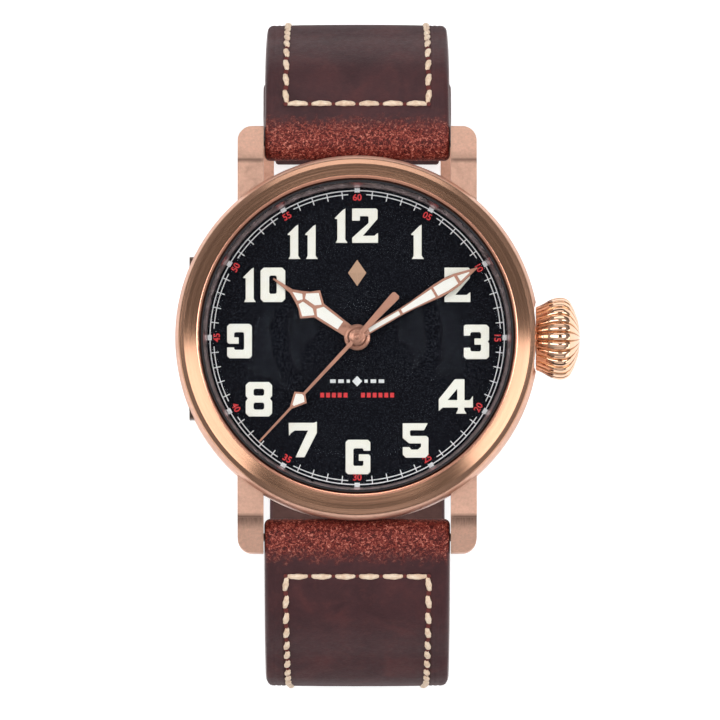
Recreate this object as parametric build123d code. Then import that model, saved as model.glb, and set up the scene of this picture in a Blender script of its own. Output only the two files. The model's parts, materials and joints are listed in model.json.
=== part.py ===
from build123d import *
import math
import os

# A pilot watch with a fluted onion crown, an automatic three-hand movement and a leather strap.
# The dial faces +Z, twelve o'clock is +Y and the crown is at +X.
# The origin is the centre of the case back's outer face, on the axis of the hands.
# The strap is unbuckled, and its two halves curve down into a loop that the watch stands on.
# All sizes are in millimetres and all angles in degrees.

# Middle case and lugs
case_width = 45.0
case_height = 9.0
case_corner = 0.8
case_taper = 1.1
case_taper_height = 1.4
cavity_radius = 19.4
strap_width = 23.0
strap_side_gap = 0.1
lug_width = 3.2
lug_span = 53.0
lug_top_drop = 1.6
lug_crease_from_tip = 4.4
lug_crease_drop = 0.9
lug_tip_top = 3.6
lug_tip_bottom = 1.4
lug_heel = 0.55
lug_heel_from_tip = 2.1
lug_corner = 1.85
lug_tip_round = 0.9
lug_foot_reach = 7.4

# Spring bars of the strap
bar_radius = 0.9
bar_tip_radius = 0.5
bar_tip_gap = 0.05
bar_tip_length = 1.5
bar_from_tip = 2.0
bar_height = 3.2
bar_flange_width = 0.6
bar_neck_radius = 0.7
roll_gap = 0.06

# Case back
back_drop = 1.3
back_flange_radius = 21.2
back_flange_thickness = 0.9
back_face_radius = 17.6
back_floor = 1.6
thread_radius = 20.2
thread_length = 1.9
thread_gap = 0.02
thread_wall = 1.2
back_notch_count = 6
back_notch_width = 3.2
back_notch_depth = 0.8
back_notch_length = 1.6
back_gasket_radius = 20.7
back_gasket_width = 0.5
back_gasket_height = 0.5

# Bezel, crystal and rehaut ring
bezel_radius = 22.1
bezel_step_radius = 21.4
bezel_bevel_radius = 19.82
bezel_bore_radius = 19.3
bezel_height = 2.5
bezel_band_height = 0.75
bezel_band_lean = 0.12
bezel_lip_drop = 0.3
collar_radius = 20.6
collar_height = 0.8
collar_gap = 0.03
crystal_gasket_wall = 0.25
crystal_edge_height = 1.75
crystal_bevel = 0.2
crystal_dome = 0.35
rehaut_inner_radius = 18.6
rehaut_lean = 0.35
rehaut_height = 2.7
crystal_seat_gap = 0.05

# Dial, numerals and marker
dial_level = 8.5
dial_thickness = 0.4
dial_gap = 0.1
numeral_height = 4.26
numeral_thickness = 0.35
numeral_field = 20.0
numeral_space_share = 0.13
marker_distance = 8.0
marker_height = 3.3
marker_width = 2.3
marker_thickness = 0.55
marker_base = 0.2

# Crown, crown tube and stem
stem_level = 6.1
stem_radius = 0.55
crown_radius = 5.12
crown_base_radius = 3.9
crown_start = 22.1
crown_belly = 3.0
crown_belly_bend = 1.75
crown_end_radius = 4.55
crown_dome = 1.2
crown_flute_count = 26
crown_flute_radius = 0.3
crown_flute_depth = 0.28
crown_seat_gap = 0.2
crown_seat_room = 0.35
crown_bore_depth = 2.6
tube_radius = 1.6
tube_bore_radius = 0.9
tube_outside = 1.9
tube_gap = 0.25
crown_gasket_length = 0.8
crown_gasket_from_mouth = 1.5
crown_travel = 1.4

# Side plate on the left flank
plate_flat = 20.75
plate_thickness = 0.6
plate_length = 20.2
plate_height = 4.5
plate_corner = 1.2
plate_gap = 0.08
plate_bottom = 3.4
plate_screw_spread = 16.6
plate_screw_radius = 0.65
plate_screw_proud = 0.08
plate_screw_length = 1.6
screw_slot_width = 0.16
screw_slot_depth = 0.18

# Movement frame
movement_radius = 12.8
movement_ring_gap = 0.05
movement_ring_side_gap = 0.1
plate_bottom_level = 5.9
plate_top_level = 8.0
works_recess_depth = 1.0
works_recess_radius = 3.6
bridge_level = 3.1
bridge_thickness = 0.8
bridge_radius = 12.6
bridge_foot_width = 1.0
bridge_split = 1.5
bridge_slot = 0.3
cock_line = -5.3
cock_right = 3.2
stem_window_width = 6.4
stem_window_reach = 6.2
jewel_radius = 0.6
jewel_thickness = 0.3
jewel_depth = 0.3
pivot_radius = 0.12
pivot_gap = 0.02
staff_radius = 0.3
bridge_screw_radius = 0.75
bridge_screw_head = 0.4
bridge_screw_shank = 0.35
bridge_screw_circle = 12.1

# Going train: teeth and modules
barrel_teeth = 72
centre_pinion_teeth = 12
barrel_module = 0.14
centre_teeth = 75
third_pinion_teeth = 10
centre_module = 0.11
third_teeth = 64
fourth_pinion_teeth = 8
fourth_teeth = 70
escape_pinion_teeth = 7
fourth_module = 0.1
escape_teeth = 15
escape_radius = 2.1
escape_root_share = 0.75
escape_back_share = 0.55
escape_tip_share = 0.68
escape_front_share = 0.6
pallet_arm_share = 0.62
pallet_gap = 0.03
rim_share = 0.8
hub_share = 0.3
wheel_thickness = 0.18
train_angle_barrel = 37.3
train_angle_third = 200.0
train_angle_escape = -65.0
train_angle_pallet = -141.7
pallet_distance = 2.42
balance_distance = 5.4
barrel_level = 4.75
barrel_height = 0.75
barrel_tooth_height = 0.3
barrel_wall = 0.35
barrel_lid = 0.15
barrel_drum_radius = 4.75
barrel_arbor_radius = 0.9
barrel_arbor_pivot = 0.6
mainspring_thickness = 0.12
mainspring_pitch = 0.41
mainspring_turns = 8
mainspring_gap = 0.05
centre_wheel_level = 5.62
third_wheel_level = 4.5
fourth_wheel_level = 4.05
escape_wheel_level = 5.25
balance_level = 4.85
balance_height = 0.25
balance_radius = 4.0
balance_rim = 0.5
balance_arm = 0.5
roller_radius = 0.55
roller_pin_radius = 0.1
roller_pin_distance = 0.4
fork_reach = 2.22
fork_slot = 0.3
hairspring_level = 4.3
hairspring_height = 0.12
hairspring_start = 0.6
hairspring_pitch = 0.16
hairspring_turns = 8
hairspring_thickness = 0.05
tooth_root_share = 0.62
tooth_tip_share = 0.26
tooth_depth_share = 1.15

# Winding works
winding_module = 0.2
crown_wheel_teeth = 24
ratchet_teeth = 36
ratchet_level = 4.3
ratchet_thickness = 0.25
pinion_face_teeth = 12
pinion_length = 1.2
pinion_start = 11.2
pinion_tip_radius = 1.5
pinion_root_radius = 1.2
face_tooth_height = 0.15
clutch_radius = 1.1
clutch_length = 1.5
clutch_start = 9.6
clutch_groove = 0.4
stem_gap = 0.03
stem_start = 9.2
crown_wheel_bore = 0.6

# Motion works under the dial
cannon_teeth = 12
minute_wheel_teeth = 36
minute_pinion_teeth = 10
hour_wheel_teeth = 40
cannon_module = 0.16
works_level = 7.1
works_thickness = 0.2
works_step = 0.35
works_angle = -60.0
second_arbor_radius = 0.15
centre_tube_bore = 0.19
centre_tube_radius = 0.38
cannon_bore = 0.41
cannon_radius = 0.62
hour_tube_bore = 0.66
hour_tube_radius = 0.95
dial_hole_radius = 1.05

# Hands
hour_hand_level = 9.05
minute_hand_level = 9.65
second_hand_level = 10.25
hand_thickness = 0.2
lume_drop = 0.04
hour_hand_length = 12.67
hour_hand_half_width = 2.15
hour_hub_radius = 1.62
minute_hand_length = 17.17
minute_hand_half_width = 0.96
minute_hub_radius = 1.05
second_hand_length = 17.7
second_hand_tail = 7.22
second_hand_half_width = 1.03
second_hub_radius = 0.82
second_hub_height = 0.35
hour_hand_angle = 305.0
minute_hand_angle = 60.0
second_hand_angle = 223.0

# Rotor
rotor_level = 2.3
rotor_plate_thickness = 0.3
rotor_rim_height = 0.65
rotor_radius = 12.4
rotor_rim_width = 1.9
rotor_hub_radius = 2.2
rotor_axle_radius = 0.9
rotor_axle_head = 1.5
rotor_axle_head_height = 0.2
rotor_gap = 0.05
rotor_arm_width = 3.0

# Strap: the middle line in the side view, and half the thickness at each point
strap_reach = 38.6
strap_shoulder_inset = 4.6
strap_shoulder_level = -1.5
strap_elbow_level = -13.0
strap_knee_level = -42.0
strap_foot_level = -65.5
strap_foot_reach = 26.0
strap_tail_reach = 13.0
strap_end_reach = 27.6
strap_end_level = -62.9
strap_end_width = 20.6
root_half = 2.2
shoulder_half = 2.15
elbow_half = 1.9
knee_half = 1.6
end_half = 1.5
roll_radius = 2.3
strap_bend_shares = (0.45, 0.39, 0.35, 0.28)
lining_half = 0.45
stitch_inset = 2.6
stitch_length = 2.3
stitch_pitch = 3.0
stitch_width = 0.45
stitch_height = 0.3
stitch_groove_width = 0.6
stitch_groove_depth = 0.22
stitch_start = 4.2
cross_stitch_count = 6
stitch_end_margin = 3.5
strap_hole_width = 1.5
strap_hole_length = 2.4
strap_hole_count = 7
strap_hole_pitch = 6.0
strap_hole_start = 12.0
tail_round = 9.0

# Buckle and keepers
buckle_bar_radius = 0.7
end_roll_radius = 1.75
buckle_length = 12.9
buckle_side_gap = 0.3
buckle_inside = strap_end_width + 2 * buckle_side_gap
buckle_arm_width = 1.9
buckle_half = 0.95
buckle_far_width = 2.2
buckle_lean = 12.5
tongue_width = 2.0
tongue_half = 0.45
tongue_ring_radius = 1.25
tongue_slot_width = 3.0
keeper_width = 4.0
keeper_thickness = 1.1
keeper_gap = 0.3
fixed_keeper_from_end = 6.0
sliding_keeper_from_end = 10.6

# One overrun for every cut that has to pass right through
over = 2.0

# Sizes worked out from the ones above
case_radius = case_width / 2
case_bottom = back_drop
case_top = case_bottom + case_height
bezel_top = case_top + bezel_height
lug_inside = strap_width / 2 + strap_side_gap
lug_outside = lug_inside + lug_width
lug_tip = lug_span / 2
bar_reach = lug_tip - bar_from_tip
crystal_radius = bezel_bore_radius - crystal_gasket_wall
rehaut_top = dial_level + rehaut_height
crystal_bottom = rehaut_top + crystal_seat_gap
dial_bottom = dial_level - dial_thickness
ring_bottom = case_bottom + thread_length
bridge_top = bridge_level + bridge_thickness
fork_level = escape_wheel_level


def polar(radius, degrees):
    return radius * math.cos(math.radians(degrees)), radius * math.sin(math.radians(degrees))


barrel_place = polar((barrel_teeth + centre_pinion_teeth) * barrel_module / 2, train_angle_barrel)
third_distance = (centre_teeth + third_pinion_teeth) * centre_module / 2
third_place = polar(third_distance, train_angle_third)
third_module = 2 * third_distance / (third_teeth + fourth_pinion_teeth)
escape_distance = (fourth_teeth + escape_pinion_teeth) * fourth_module / 2
escape_place = polar(escape_distance, train_angle_escape)
pallet_step = polar(pallet_distance, train_angle_pallet)
balance_step = polar(balance_distance, train_angle_pallet)
pallet_place = (escape_place[0] + pallet_step[0], escape_place[1] + pallet_step[1])
balance_place = (escape_place[0] + balance_step[0], escape_place[1] + balance_step[1])
ratchet_distance = (crown_wheel_teeth + ratchet_teeth) * winding_module / 2
crown_wheel_reach = barrel_place[0] + math.sqrt(ratchet_distance**2 - barrel_place[1] ** 2)
works_distance = (cannon_teeth + minute_wheel_teeth) * cannon_module / 2
works_place = polar(works_distance, works_angle)
hour_module = 2 * works_distance / (minute_pinion_teeth + hour_wheel_teeth)


# Helpers that make one kind of solid each
def save(name, *solids):
    kept = []
    for solid in solids:
        kept.extend(solid.solids())
    shape = kept[0] if len(kept) == 1 else Compound(children=kept)
    export_step(shape, f"parts/{name}.step")


def turned(points):
    """A solid turned about the Z axis from (radius, level) points."""
    return revolve(Plane.XZ * make_face(Polyline(*points, close=True)), Axis.Z)


def round_bar(radius, low, high, place=(0, 0)):
    upright = Cylinder(radius, high - low, align=(Align.CENTER, Align.CENTER, Align.MIN))
    return Pos(place[0], place[1], low) * upright


def dome_cap(radius, rise, level):
    """The cap of a ball, as wide as twice the radius, standing on a level."""
    ball = (radius**2 + rise**2) / (2 * rise)
    return Pos(0, 0, level + rise - ball) * Sphere(ball) & round_bar(radius, level, level + over)


def ring(outer, inner, low, high, place=(0, 0)):
    return round_bar(outer, low, high, place) - round_bar(inner, low - over, high + over, place)


def cross_bar(radius, start, end, y=0, z=0):
    """A round bar along X from start to end."""
    bar = Cylinder(radius, end - start, align=(Align.CENTER, Align.CENTER, Align.MIN))
    return Pos(start, y, z) * Rot(0, 90, 0) * bar


def block(low_corner, high_corner):
    size = [high - low for low, high in zip(low_corner, high_corner)]
    corner = (Align.MIN, Align.MIN, Align.MIN)
    return Pos(*low_corner) * Box(*size, align=corner)


def slab(points, low, high):
    return Pos(0, 0, low) * extrude(make_face(Polyline(*points, close=True)), high - low)


def side_slab(outline, half_width):
    """A slab whose outline lies in the YZ plane, as wide as twice half_width along X."""
    return extrude(Plane.YZ * outline, half_width, both=True)


def twelve_to_six(shape):
    return Rot(0, 0, 180) * shape


# Gears
def gear(teeth, module, low, high, bore, phase=0.0, place=(0, 0)):
    pitch_radius = teeth * module / 2
    root = pitch_radius - tooth_depth_share * module
    tip = pitch_radius + module
    step = 180.0 / teeth
    points = []
    for tooth in range(teeth):
        middle = phase + 2 * step * tooth
        points.append(polar(root, middle - step * tooth_root_share))
        points.append(polar(tip, middle - step * tooth_tip_share))
        points.append(polar(tip, middle + step * tooth_tip_share))
        points.append(polar(root, middle + step * tooth_root_share))
    blank = slab(points, low, high)
    if bore > 0:
        blank -= round_bar(bore, low - over, high + over)
    return Pos(place[0], place[1], 0) * blank


def mesh_phase(teeth, angle, other_phase_steps=0.0):
    """The phase that puts a gap of this gear towards a tooth of its neighbour at this angle."""
    return angle + 180.0 / teeth + other_phase_steps


def spoke_windows(outer, inner, arms, arm_width, low, high, place=(0, 0)):
    windows = ring(outer, inner, low - over, high + over)
    for arm in range(arms):
        bar = block((0, -arm_width / 2, low - over), (outer + over, arm_width / 2, high + over))
        windows -= Rot(0, 0, 360 * arm / arms) * bar
    return Pos(place[0], place[1], 0) * windows


def staff(place, low, high, body_low, body_high, body=staff_radius, pivot=pivot_radius):
    return round_bar(body, body_low, body_high, place) + round_bar(pivot, low, high, place)


# Case parts
def lug_pair():
    """The two lugs at twelve o'clock, before the cavity is bored."""
    top = case_top - lug_top_drop
    crease = lug_tip - lug_crease_from_tip
    root = lug_tip - lug_foot_reach - lug_width
    profile = FilletPolyline(
        (root, case_bottom + lug_heel),
        (root, top),
        (crease, top - lug_crease_drop),
        (lug_tip, lug_tip_top + lug_tip_round),
        (lug_tip, lug_tip_bottom),
        (lug_tip - lug_heel_from_tip, lug_heel),
        (root, case_bottom + lug_heel),
        radius=lug_tip_round / 2,
        close=False,
    )
    side = side_slab(make_face(profile), lug_outside)
    plan = RectangleRounded(2 * lug_outside, 2 * lug_tip, lug_corner)
    body = side & extrude(plan, case_top + over)
    gap = block((-lug_inside, 0, -over), (lug_inside, lug_tip + over, case_top + over))
    return body - gap


def middle_case():
    body = turned(
        [
            (cavity_radius, case_bottom),
            (case_radius - case_taper, case_bottom),
            (case_radius, case_bottom + case_taper_height),
            (case_radius, case_top - case_corner),
            (case_radius - case_corner / 2, case_top),
            (collar_radius, case_top),
            (collar_radius, case_top + collar_height),
            (cavity_radius, case_top + collar_height),
        ]
    )
    body += lug_pair() + twelve_to_six(lug_pair())
    body -= round_bar(cavity_radius, -over, case_top + over)
    body -= round_bar(thread_radius, -over, ring_bottom)
    gasket_inner = back_gasket_radius - back_gasket_width / 2
    gasket_outer = back_gasket_radius + back_gasket_width / 2
    body -= ring(gasket_outer, gasket_inner, case_bottom - over, case_bottom + back_gasket_height)
    body -= cross_bar(tube_radius, 0, case_radius + over, z=stem_level)
    seat = crown_start - crown_seat_gap
    body -= cross_bar(crown_radius + crown_seat_room, seat, case_radius + over, z=stem_level)
    bar_hole = bar_tip_radius + bar_tip_gap
    hole_half = lug_inside + bar_tip_length + bar_tip_gap
    for side in (1, -1):
        y = side * bar_reach
        body -= cross_bar(roll_radius + keeper_gap, -lug_inside, lug_inside, y, bar_height)
        body -= cross_bar(bar_hole, -hole_half, hole_half, y, bar_height)
    body -= side_plate_pocket()
    body -= side_plate_screws()
    return body


def side_plate_shape(gap, thickness):
    outline = RectangleRounded(plate_length + 2 * gap, plate_height + 2 * gap, plate_corner)
    level = plate_bottom + plate_height / 2
    inner_face = plate_flat - plate_thickness
    standing = Plane((-inner_face, 0, level), x_dir=(0, 1, 0), z_dir=(-1, 0, 0))
    return extrude(standing * outline, thickness)


def side_plate_pocket():
    return side_plate_shape(plate_gap, plate_thickness + case_radius)


def side_plate_screws():
    level = plate_bottom + plate_height / 2
    half = plate_screw_spread / 2
    face = plate_flat + plate_screw_proud
    screws = []
    for y in (-half, half):
        screw = cross_bar(plate_screw_radius, -face, -face + plate_screw_length, y, level)
        slot_low = (-face - over, y - plate_screw_radius, level - screw_slot_width / 2)
        slot_high = (-face + screw_slot_depth, y + plate_screw_radius, level + screw_slot_width / 2)
        screws.append(screw - block(slot_low, slot_high))
    return screws


def bezel():
    recess = collar_radius + collar_gap
    return turned(
        [
            (recess, case_top),
            (bezel_radius, case_top),
            (bezel_radius, case_top + bezel_band_height - bezel_band_lean),
            (bezel_radius - bezel_band_lean, case_top + bezel_band_height),
            (bezel_step_radius, case_top + bezel_band_height + bezel_band_lean),
            (bezel_bevel_radius, bezel_top),
            (bezel_bore_radius, bezel_top - bezel_lip_drop),
            (bezel_bore_radius, case_top + collar_height + collar_gap),
            (recess, case_top + collar_height + collar_gap),
        ]
    )


def crystal():
    top = crystal_bottom + crystal_edge_height
    shoulder = crystal_radius - crystal_bevel
    body = round_bar(crystal_radius, crystal_bottom, top - crystal_bevel)
    cone = Cone(crystal_radius, shoulder, crystal_bevel, align=(Align.CENTER, Align.CENTER, Align.MIN))
    body += Pos(0, 0, top - crystal_bevel) * cone
    return body + dome_cap(shoulder, crystal_dome, top)


def rehaut_ring():
    return turned(
        [
            (rehaut_inner_radius, dial_level),
            (bezel_bore_radius - dial_gap, dial_level),
            (bezel_bore_radius - dial_gap, rehaut_top),
            (rehaut_inner_radius + rehaut_lean, rehaut_top),
        ]
    )


def case_back():
    body = turned(
        [
            (0, 0),
            (back_face_radius, 0),
            (back_flange_radius, back_drop - back_flange_thickness),
            (back_flange_radius, back_drop),
            (thread_radius - thread_gap, back_drop),
            (thread_radius - thread_gap, ring_bottom),
            (thread_radius - thread_wall, ring_bottom),
            (thread_radius - thread_wall, back_floor),
            (0, back_floor),
        ]
    )
    for notch in range(back_notch_count):
        inner = back_face_radius - back_notch_length / 2
        low = (inner, -back_notch_width / 2, -over)
        high = (inner + back_notch_length, back_notch_width / 2, back_notch_depth)
        body -= Rot(0, 0, 360 * notch / back_notch_count) * block(low, high)
    return body


# Spring bars
def spring_bar(half_length, radius, neck, tip_radius, tip_length, flange):
    bar = cross_bar(radius, -half_length, half_length)
    bar += cross_bar(tip_radius, -half_length - tip_length, half_length + tip_length)
    for side in (1, -1):
        centre = side * (half_length - 1.5 * flange)
        groove = cross_bar(radius + over, centre - flange / 4, centre + flange / 4)
        bar -= groove - cross_bar(neck, centre - flange, centre + flange)
    return bar


def strap_spring_bars():
    bars = []
    for side in (1, -1):
        half_length = lug_inside - strap_side_gap
        bar = spring_bar(
            half_length, bar_radius, bar_neck_radius, bar_tip_radius, bar_tip_length, bar_flange_width
        )
        bars.append(Pos(0, side * bar_reach, bar_height) * bar)
    return bars


# Numerals, drawn as shares of their height
digit_outline_shares = {
    1: [(0.31, 1.0), (0.31, 0.09), (0.376, 0.0), (0.026, 0.0), (0.075, 0.09), (0.075, 0.69),
        (0.0, 0.70), (0.01, 0.73), (0.24, 0.96)],
    2: [(0.0, 1.0), (0.70, 1.0), (0.74, 0.96), (0.74, 0.70), (0.313, 0.205), (0.647, 0.205),
        (0.73, 0.28), (0.753, 0.28), (0.753, 0.0), (0.0, 0.0), (0.0, 0.145), (0.476, 0.574),
        (0.476, 0.75), (0.44, 0.776), (0.226, 0.776), (0.226, 0.645), (0.0, 0.645)],
    3: [(0.04, 1.0), (0.66, 1.0), (0.735, 0.925), (0.735, 0.56), (0.695, 0.51), (0.735, 0.46),
        (0.735, 0.075), (0.66, 0.0), (0.07, 0.0), (0.0, 0.07), (0.0, 0.33), (0.19, 0.33),
        (0.19, 0.26), (0.23, 0.225), (0.46, 0.225), (0.50, 0.265), (0.50, 0.42), (0.31, 0.42),
        (0.31, 0.60), (0.50, 0.60), (0.50, 0.745), (0.46, 0.785), (0.23, 0.785), (0.19, 0.75),
        (0.19, 0.68), (0.0, 0.68), (0.0, 0.96)],
    4: [(0.468, 1.0), (0.747, 1.0), (0.747, 0.392), (0.90, 0.392), (0.992, 0.519),
        (0.992, 0.177), (0.739, 0.177), (0.739, 0.114), (0.805, 0.0), (0.499, 0.0),
        (0.557, 0.114), (0.557, 0.177), (0.114, 0.177), (0.0, 0.076), (0.0, 0.418)],
    5: [(0.0, 1.0), (0.727, 1.0), (0.62, 0.796), (0.24, 0.796), (0.212, 0.77), (0.212, 0.66),
        (0.24, 0.63), (0.69, 0.63), (0.747, 0.58), (0.747, 0.09), (0.66, 0.0), (0.09, 0.0),
        (0.0, 0.09), (0.0, 0.306), (0.2, 0.306), (0.25, 0.235), (0.44, 0.235), (0.53, 0.32),
        (0.53, 0.413), (0.19, 0.413), (0.0, 0.57)],
    6: [(0.07, 1.0), (0.65, 1.0), (0.72, 0.93), (0.72, 0.683), (0.515, 0.683), (0.515, 0.72),
        (0.48, 0.753), (0.26, 0.753), (0.227, 0.72), (0.227, 0.275), (0.26, 0.242),
        (0.48, 0.242), (0.515, 0.275), (0.515, 0.39), (0.384, 0.39), (0.384, 0.577),
        (0.67, 0.577), (0.72, 0.53), (0.72, 0.07), (0.65, 0.0), (0.07, 0.0), (0.0, 0.07),
        (0.0, 0.93)],
    7: [(0.0, 1.0), (0.73, 1.0), (0.82, 1.035), (0.82, 0.71), (0.46, 0.0), (0.2, 0.0),
        (0.564, 0.777), (0.18, 0.777), (0.07, 0.70), (0.013, 0.62)],
    8: [(0.09, 1.0), (0.676, 1.0), (0.766, 0.91), (0.766, 0.60), (0.705, 0.52), (0.766, 0.44),
        (0.766, 0.09), (0.676, 0.0), (0.09, 0.0), (0.0, 0.09), (0.0, 0.44), (0.06, 0.52),
        (0.0, 0.60), (0.0, 0.91)],
    0: [(0.09, 1.0), (0.63, 1.0), (0.72, 0.91), (0.72, 0.09), (0.63, 0.0), (0.09, 0.0),
        (0.0, 0.09), (0.0, 0.91)],
}
six_width_share = 0.72
digit_outline_shares[9] = [(six_width_share - x, 1 - y) for x, y in digit_outline_shares[6]]
digit_counter_shares = {
    4: [[(0.537, 0.722), (0.537, 0.392), (0.253, 0.392)]],
    8: [[(0.27, 0.603), (0.495, 0.603), (0.535, 0.64), (0.535, 0.765), (0.495, 0.805),
         (0.27, 0.805), (0.229, 0.765), (0.229, 0.64)],
        [(0.27, 0.2), (0.495, 0.2), (0.535, 0.24), (0.535, 0.365), (0.495, 0.403),
         (0.27, 0.403), (0.229, 0.365), (0.229, 0.24)]],
    0: [[(0.29, 0.238), (0.43, 0.238), (0.47, 0.28), (0.47, 0.73), (0.43, 0.77),
         (0.29, 0.77), (0.253, 0.73), (0.253, 0.28)]],
}
# Where the middle of each hour numeral lies, as shares of the numeral field
numeral_place_shares = {
    (1, 2): (-0.005, 0.6925), (1,): (0.373, 0.5925), (2,): (0.62, 0.326),
    (3,): (0.7375, -0.0275), (4,): (0.61, -0.365), (5,): (0.361, -0.6375), (6,): (0.005, -0.74),
    (7,): (-0.3365, -0.635), (8,): (-0.6075, -0.3825), (9,): (-0.7275, -0.0225),
    (1, 0): (-0.575, 0.326), (1, 1): (-0.3365, 0.5925),
}


def digit_width(digit):
    return max(x for x, y in digit_outline_shares[digit]) * numeral_height


def digit_solid(digit, left, bottom):
    def placed(points):
        return [(left + x * numeral_height, bottom + y * numeral_height) for x, y in points]

    top = dial_level + numeral_thickness
    solid = slab(placed(digit_outline_shares[digit]), dial_level, top)
    for counter in digit_counter_shares.get(digit, []):
        solid -= slab(placed(counter), dial_level - over, top + over)
    return solid


def hour_numerals():
    digits = []
    space = numeral_space_share * numeral_height
    for number, (across, height) in numeral_place_shares.items():
        x, y = across * numeral_field, height * numeral_field
        total = sum(digit_width(digit) for digit in number) + space * (len(number) - 1)
        left = x - total / 2
        for digit in number:
            digits.append(digit_solid(digit, left, y - numeral_height / 2))
            left += digit_width(digit) + space
    return digits


def dial_marker():
    """A faceted lozenge on a thin base."""
    half_w = marker_width / 2
    half_h = marker_height / 2
    corners = [(0, half_h), (half_w, 0), (0, -half_h), (-half_w, 0)]
    base_top = dial_level + marker_base
    base = slab([(x, y + marker_distance) for x, y in corners], dial_level, base_top)
    foot = Pos(0, marker_distance, base_top) * make_face(Polyline(*corners, close=True))
    crown_face = loft([foot, Vertex(0, marker_distance, dial_level + marker_thickness)])
    return base + crown_face


# Crown and keyless works
def crown():
    belly_at = crown_start + crown_belly
    centre = crown_radius - crown_belly_bend
    end_rim = belly_at + math.sqrt(crown_belly_bend**2 - (crown_end_radius - centre) ** 2)
    to_base = math.hypot(crown_belly, crown_base_radius - centre)
    lean = math.atan2(crown_base_radius - centre, -crown_belly) - math.acos(crown_belly_bend / to_base)
    touch = (belly_at + crown_belly_bend * math.cos(lean), centre + crown_belly_bend * math.sin(lean))
    profile = Polyline((end_rim, 0), (crown_start, 0), (crown_start, crown_base_radius), touch)
    profile += ThreePointArc(touch, (belly_at, crown_radius), (end_rim, crown_end_radius))
    profile += Line((end_rim, crown_end_radius), (end_rim, 0))
    body = revolve(Plane.XY * make_face(profile), Axis.X)
    body += Rot(0, 90, 0) * dome_cap(crown_end_radius, crown_dome, end_rim)
    body -= crown_flutes((belly_at, centre), math.degrees(lean), to_base)
    body -= cross_bar(tube_radius + tube_gap, 0, crown_start + crown_bore_depth)
    body -= cross_bar(stem_radius, 0, crown_start + crown_bore_depth + stem_radius)
    return Pos(0, 0, stem_level) * body


def crown_flutes(centre, lean, flank):
    """Round grooves that follow the crown's straight flank and then the bend of its belly."""
    bend = crown_belly_bend + crown_flute_radius - crown_flute_depth
    rim = Torus(bend, crown_flute_radius) & Rot(0, 0, lean) * block((0, -flank, -over), (flank, 0, over))
    rim &= block((-flank, crown_end_radius - crown_flute_radius - centre[1], -over), (flank, flank, over))
    run = Cylinder(crown_flute_radius, flank, align=(Align.CENTER, Align.CENTER, Align.MIN))
    run = Rot(0, 0, lean) * Pos(bend, 0, 0) * Rot(-90, 0, 0) * run
    flute = Pos(centre[0], centre[1], 0) * (rim + run)
    return [Rot(360 * n / crown_flute_count, 0, 0) * flute for n in range(crown_flute_count)]


def crown_gasket():
    start = crown_start + crown_gasket_from_mouth - crown_gasket_length
    seal = cross_bar(tube_radius + tube_gap, start, start + crown_gasket_length, z=stem_level)
    return seal - cross_bar(tube_radius + thread_gap, 0, crown_start + over * 2, z=stem_level)


def crown_tube():
    tube = cross_bar(tube_radius, cavity_radius, case_radius + tube_outside, z=stem_level)
    return tube - cross_bar(tube_bore_radius, 0, case_radius + over * 2, z=stem_level)


def winding_stem():
    end = crown_start + crown_bore_depth + stem_radius
    return cross_bar(stem_radius, stem_start, end, z=stem_level)


def sliding_clutch():
    end = clutch_start + clutch_length
    body = cross_bar(clutch_radius, clutch_start, end)
    middle = (clutch_start + end) / 2
    groove = cross_bar(clutch_radius + over, middle - clutch_groove / 2, middle + clutch_groove / 2)
    body -= groove - cross_bar((clutch_radius + stem_radius) / 2, 0, end)
    body -= cross_bar(stem_radius + stem_gap, 0, end + over)
    return Pos(0, 0, stem_level) * body


def winding_pinion():
    end = pinion_start + pinion_length
    points = []
    step = 180.0 / pinion_face_teeth
    for tooth in range(pinion_face_teeth):
        middle = 2 * step * tooth
        points.append(polar(pinion_root_radius, middle - step * tooth_root_share))
        points.append(polar(pinion_tip_radius, middle - step * tooth_tip_share))
        points.append(polar(pinion_tip_radius, middle + step * tooth_tip_share))
        points.append(polar(pinion_root_radius, middle + step * tooth_root_share))
    body = Rot(0, 90, 0) * slab(points, pinion_start, end)
    body -= cross_bar(stem_radius + stem_gap, 0, end + over)
    return Pos(0, 0, stem_level) * body


def crown_wheel():
    place = (crown_wheel_reach, 0)
    top = ratchet_level + ratchet_thickness
    angle = math.degrees(math.atan2(barrel_place[1], barrel_place[0] - crown_wheel_reach))
    low = ratchet_level
    body = gear(crown_wheel_teeth, winding_module, low, top, crown_wheel_bore + pivot_gap, angle, place)
    pitch_radius = crown_wheel_teeth * winding_module / 2
    face_reach = top + face_tooth_height
    tooth_half = winding_module / 2
    inner = pitch_radius - 3 * winding_module
    for tooth in range(crown_wheel_teeth):
        low = (inner, -tooth_half, top)
        high = (pitch_radius - winding_module, tooth_half, face_reach)
        turn = Rot(0, 0, 360 * (tooth + 1 / 2) / crown_wheel_teeth)
        body += Pos(place[0], 0, 0) * turn * block(low, high)
    return body


def ratchet_wheel():
    angle = math.degrees(math.atan2(-barrel_place[1], crown_wheel_reach - barrel_place[0]))
    phase = mesh_phase(ratchet_teeth, angle)
    top = ratchet_level + ratchet_thickness
    bore = barrel_arbor_pivot
    return gear(ratchet_teeth, winding_module, ratchet_level, top, bore, phase, barrel_place)


# Barrel
def barrel_drum():
    low = barrel_level
    high = low + barrel_height
    phase = train_angle_barrel + 180.0
    teeth_low = high - barrel_tooth_height
    bore = barrel_arbor_radius + pivot_gap
    inner = barrel_drum_radius - barrel_wall
    body = gear(barrel_teeth, barrel_module, teeth_low, high, bore, phase, barrel_place)
    body += round_bar(barrel_drum_radius, low, high, barrel_place)
    body -= round_bar(inner, low + barrel_lid, high - barrel_lid, barrel_place)
    body -= round_bar(bore, low - over, high + over, barrel_place)
    return body


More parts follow.
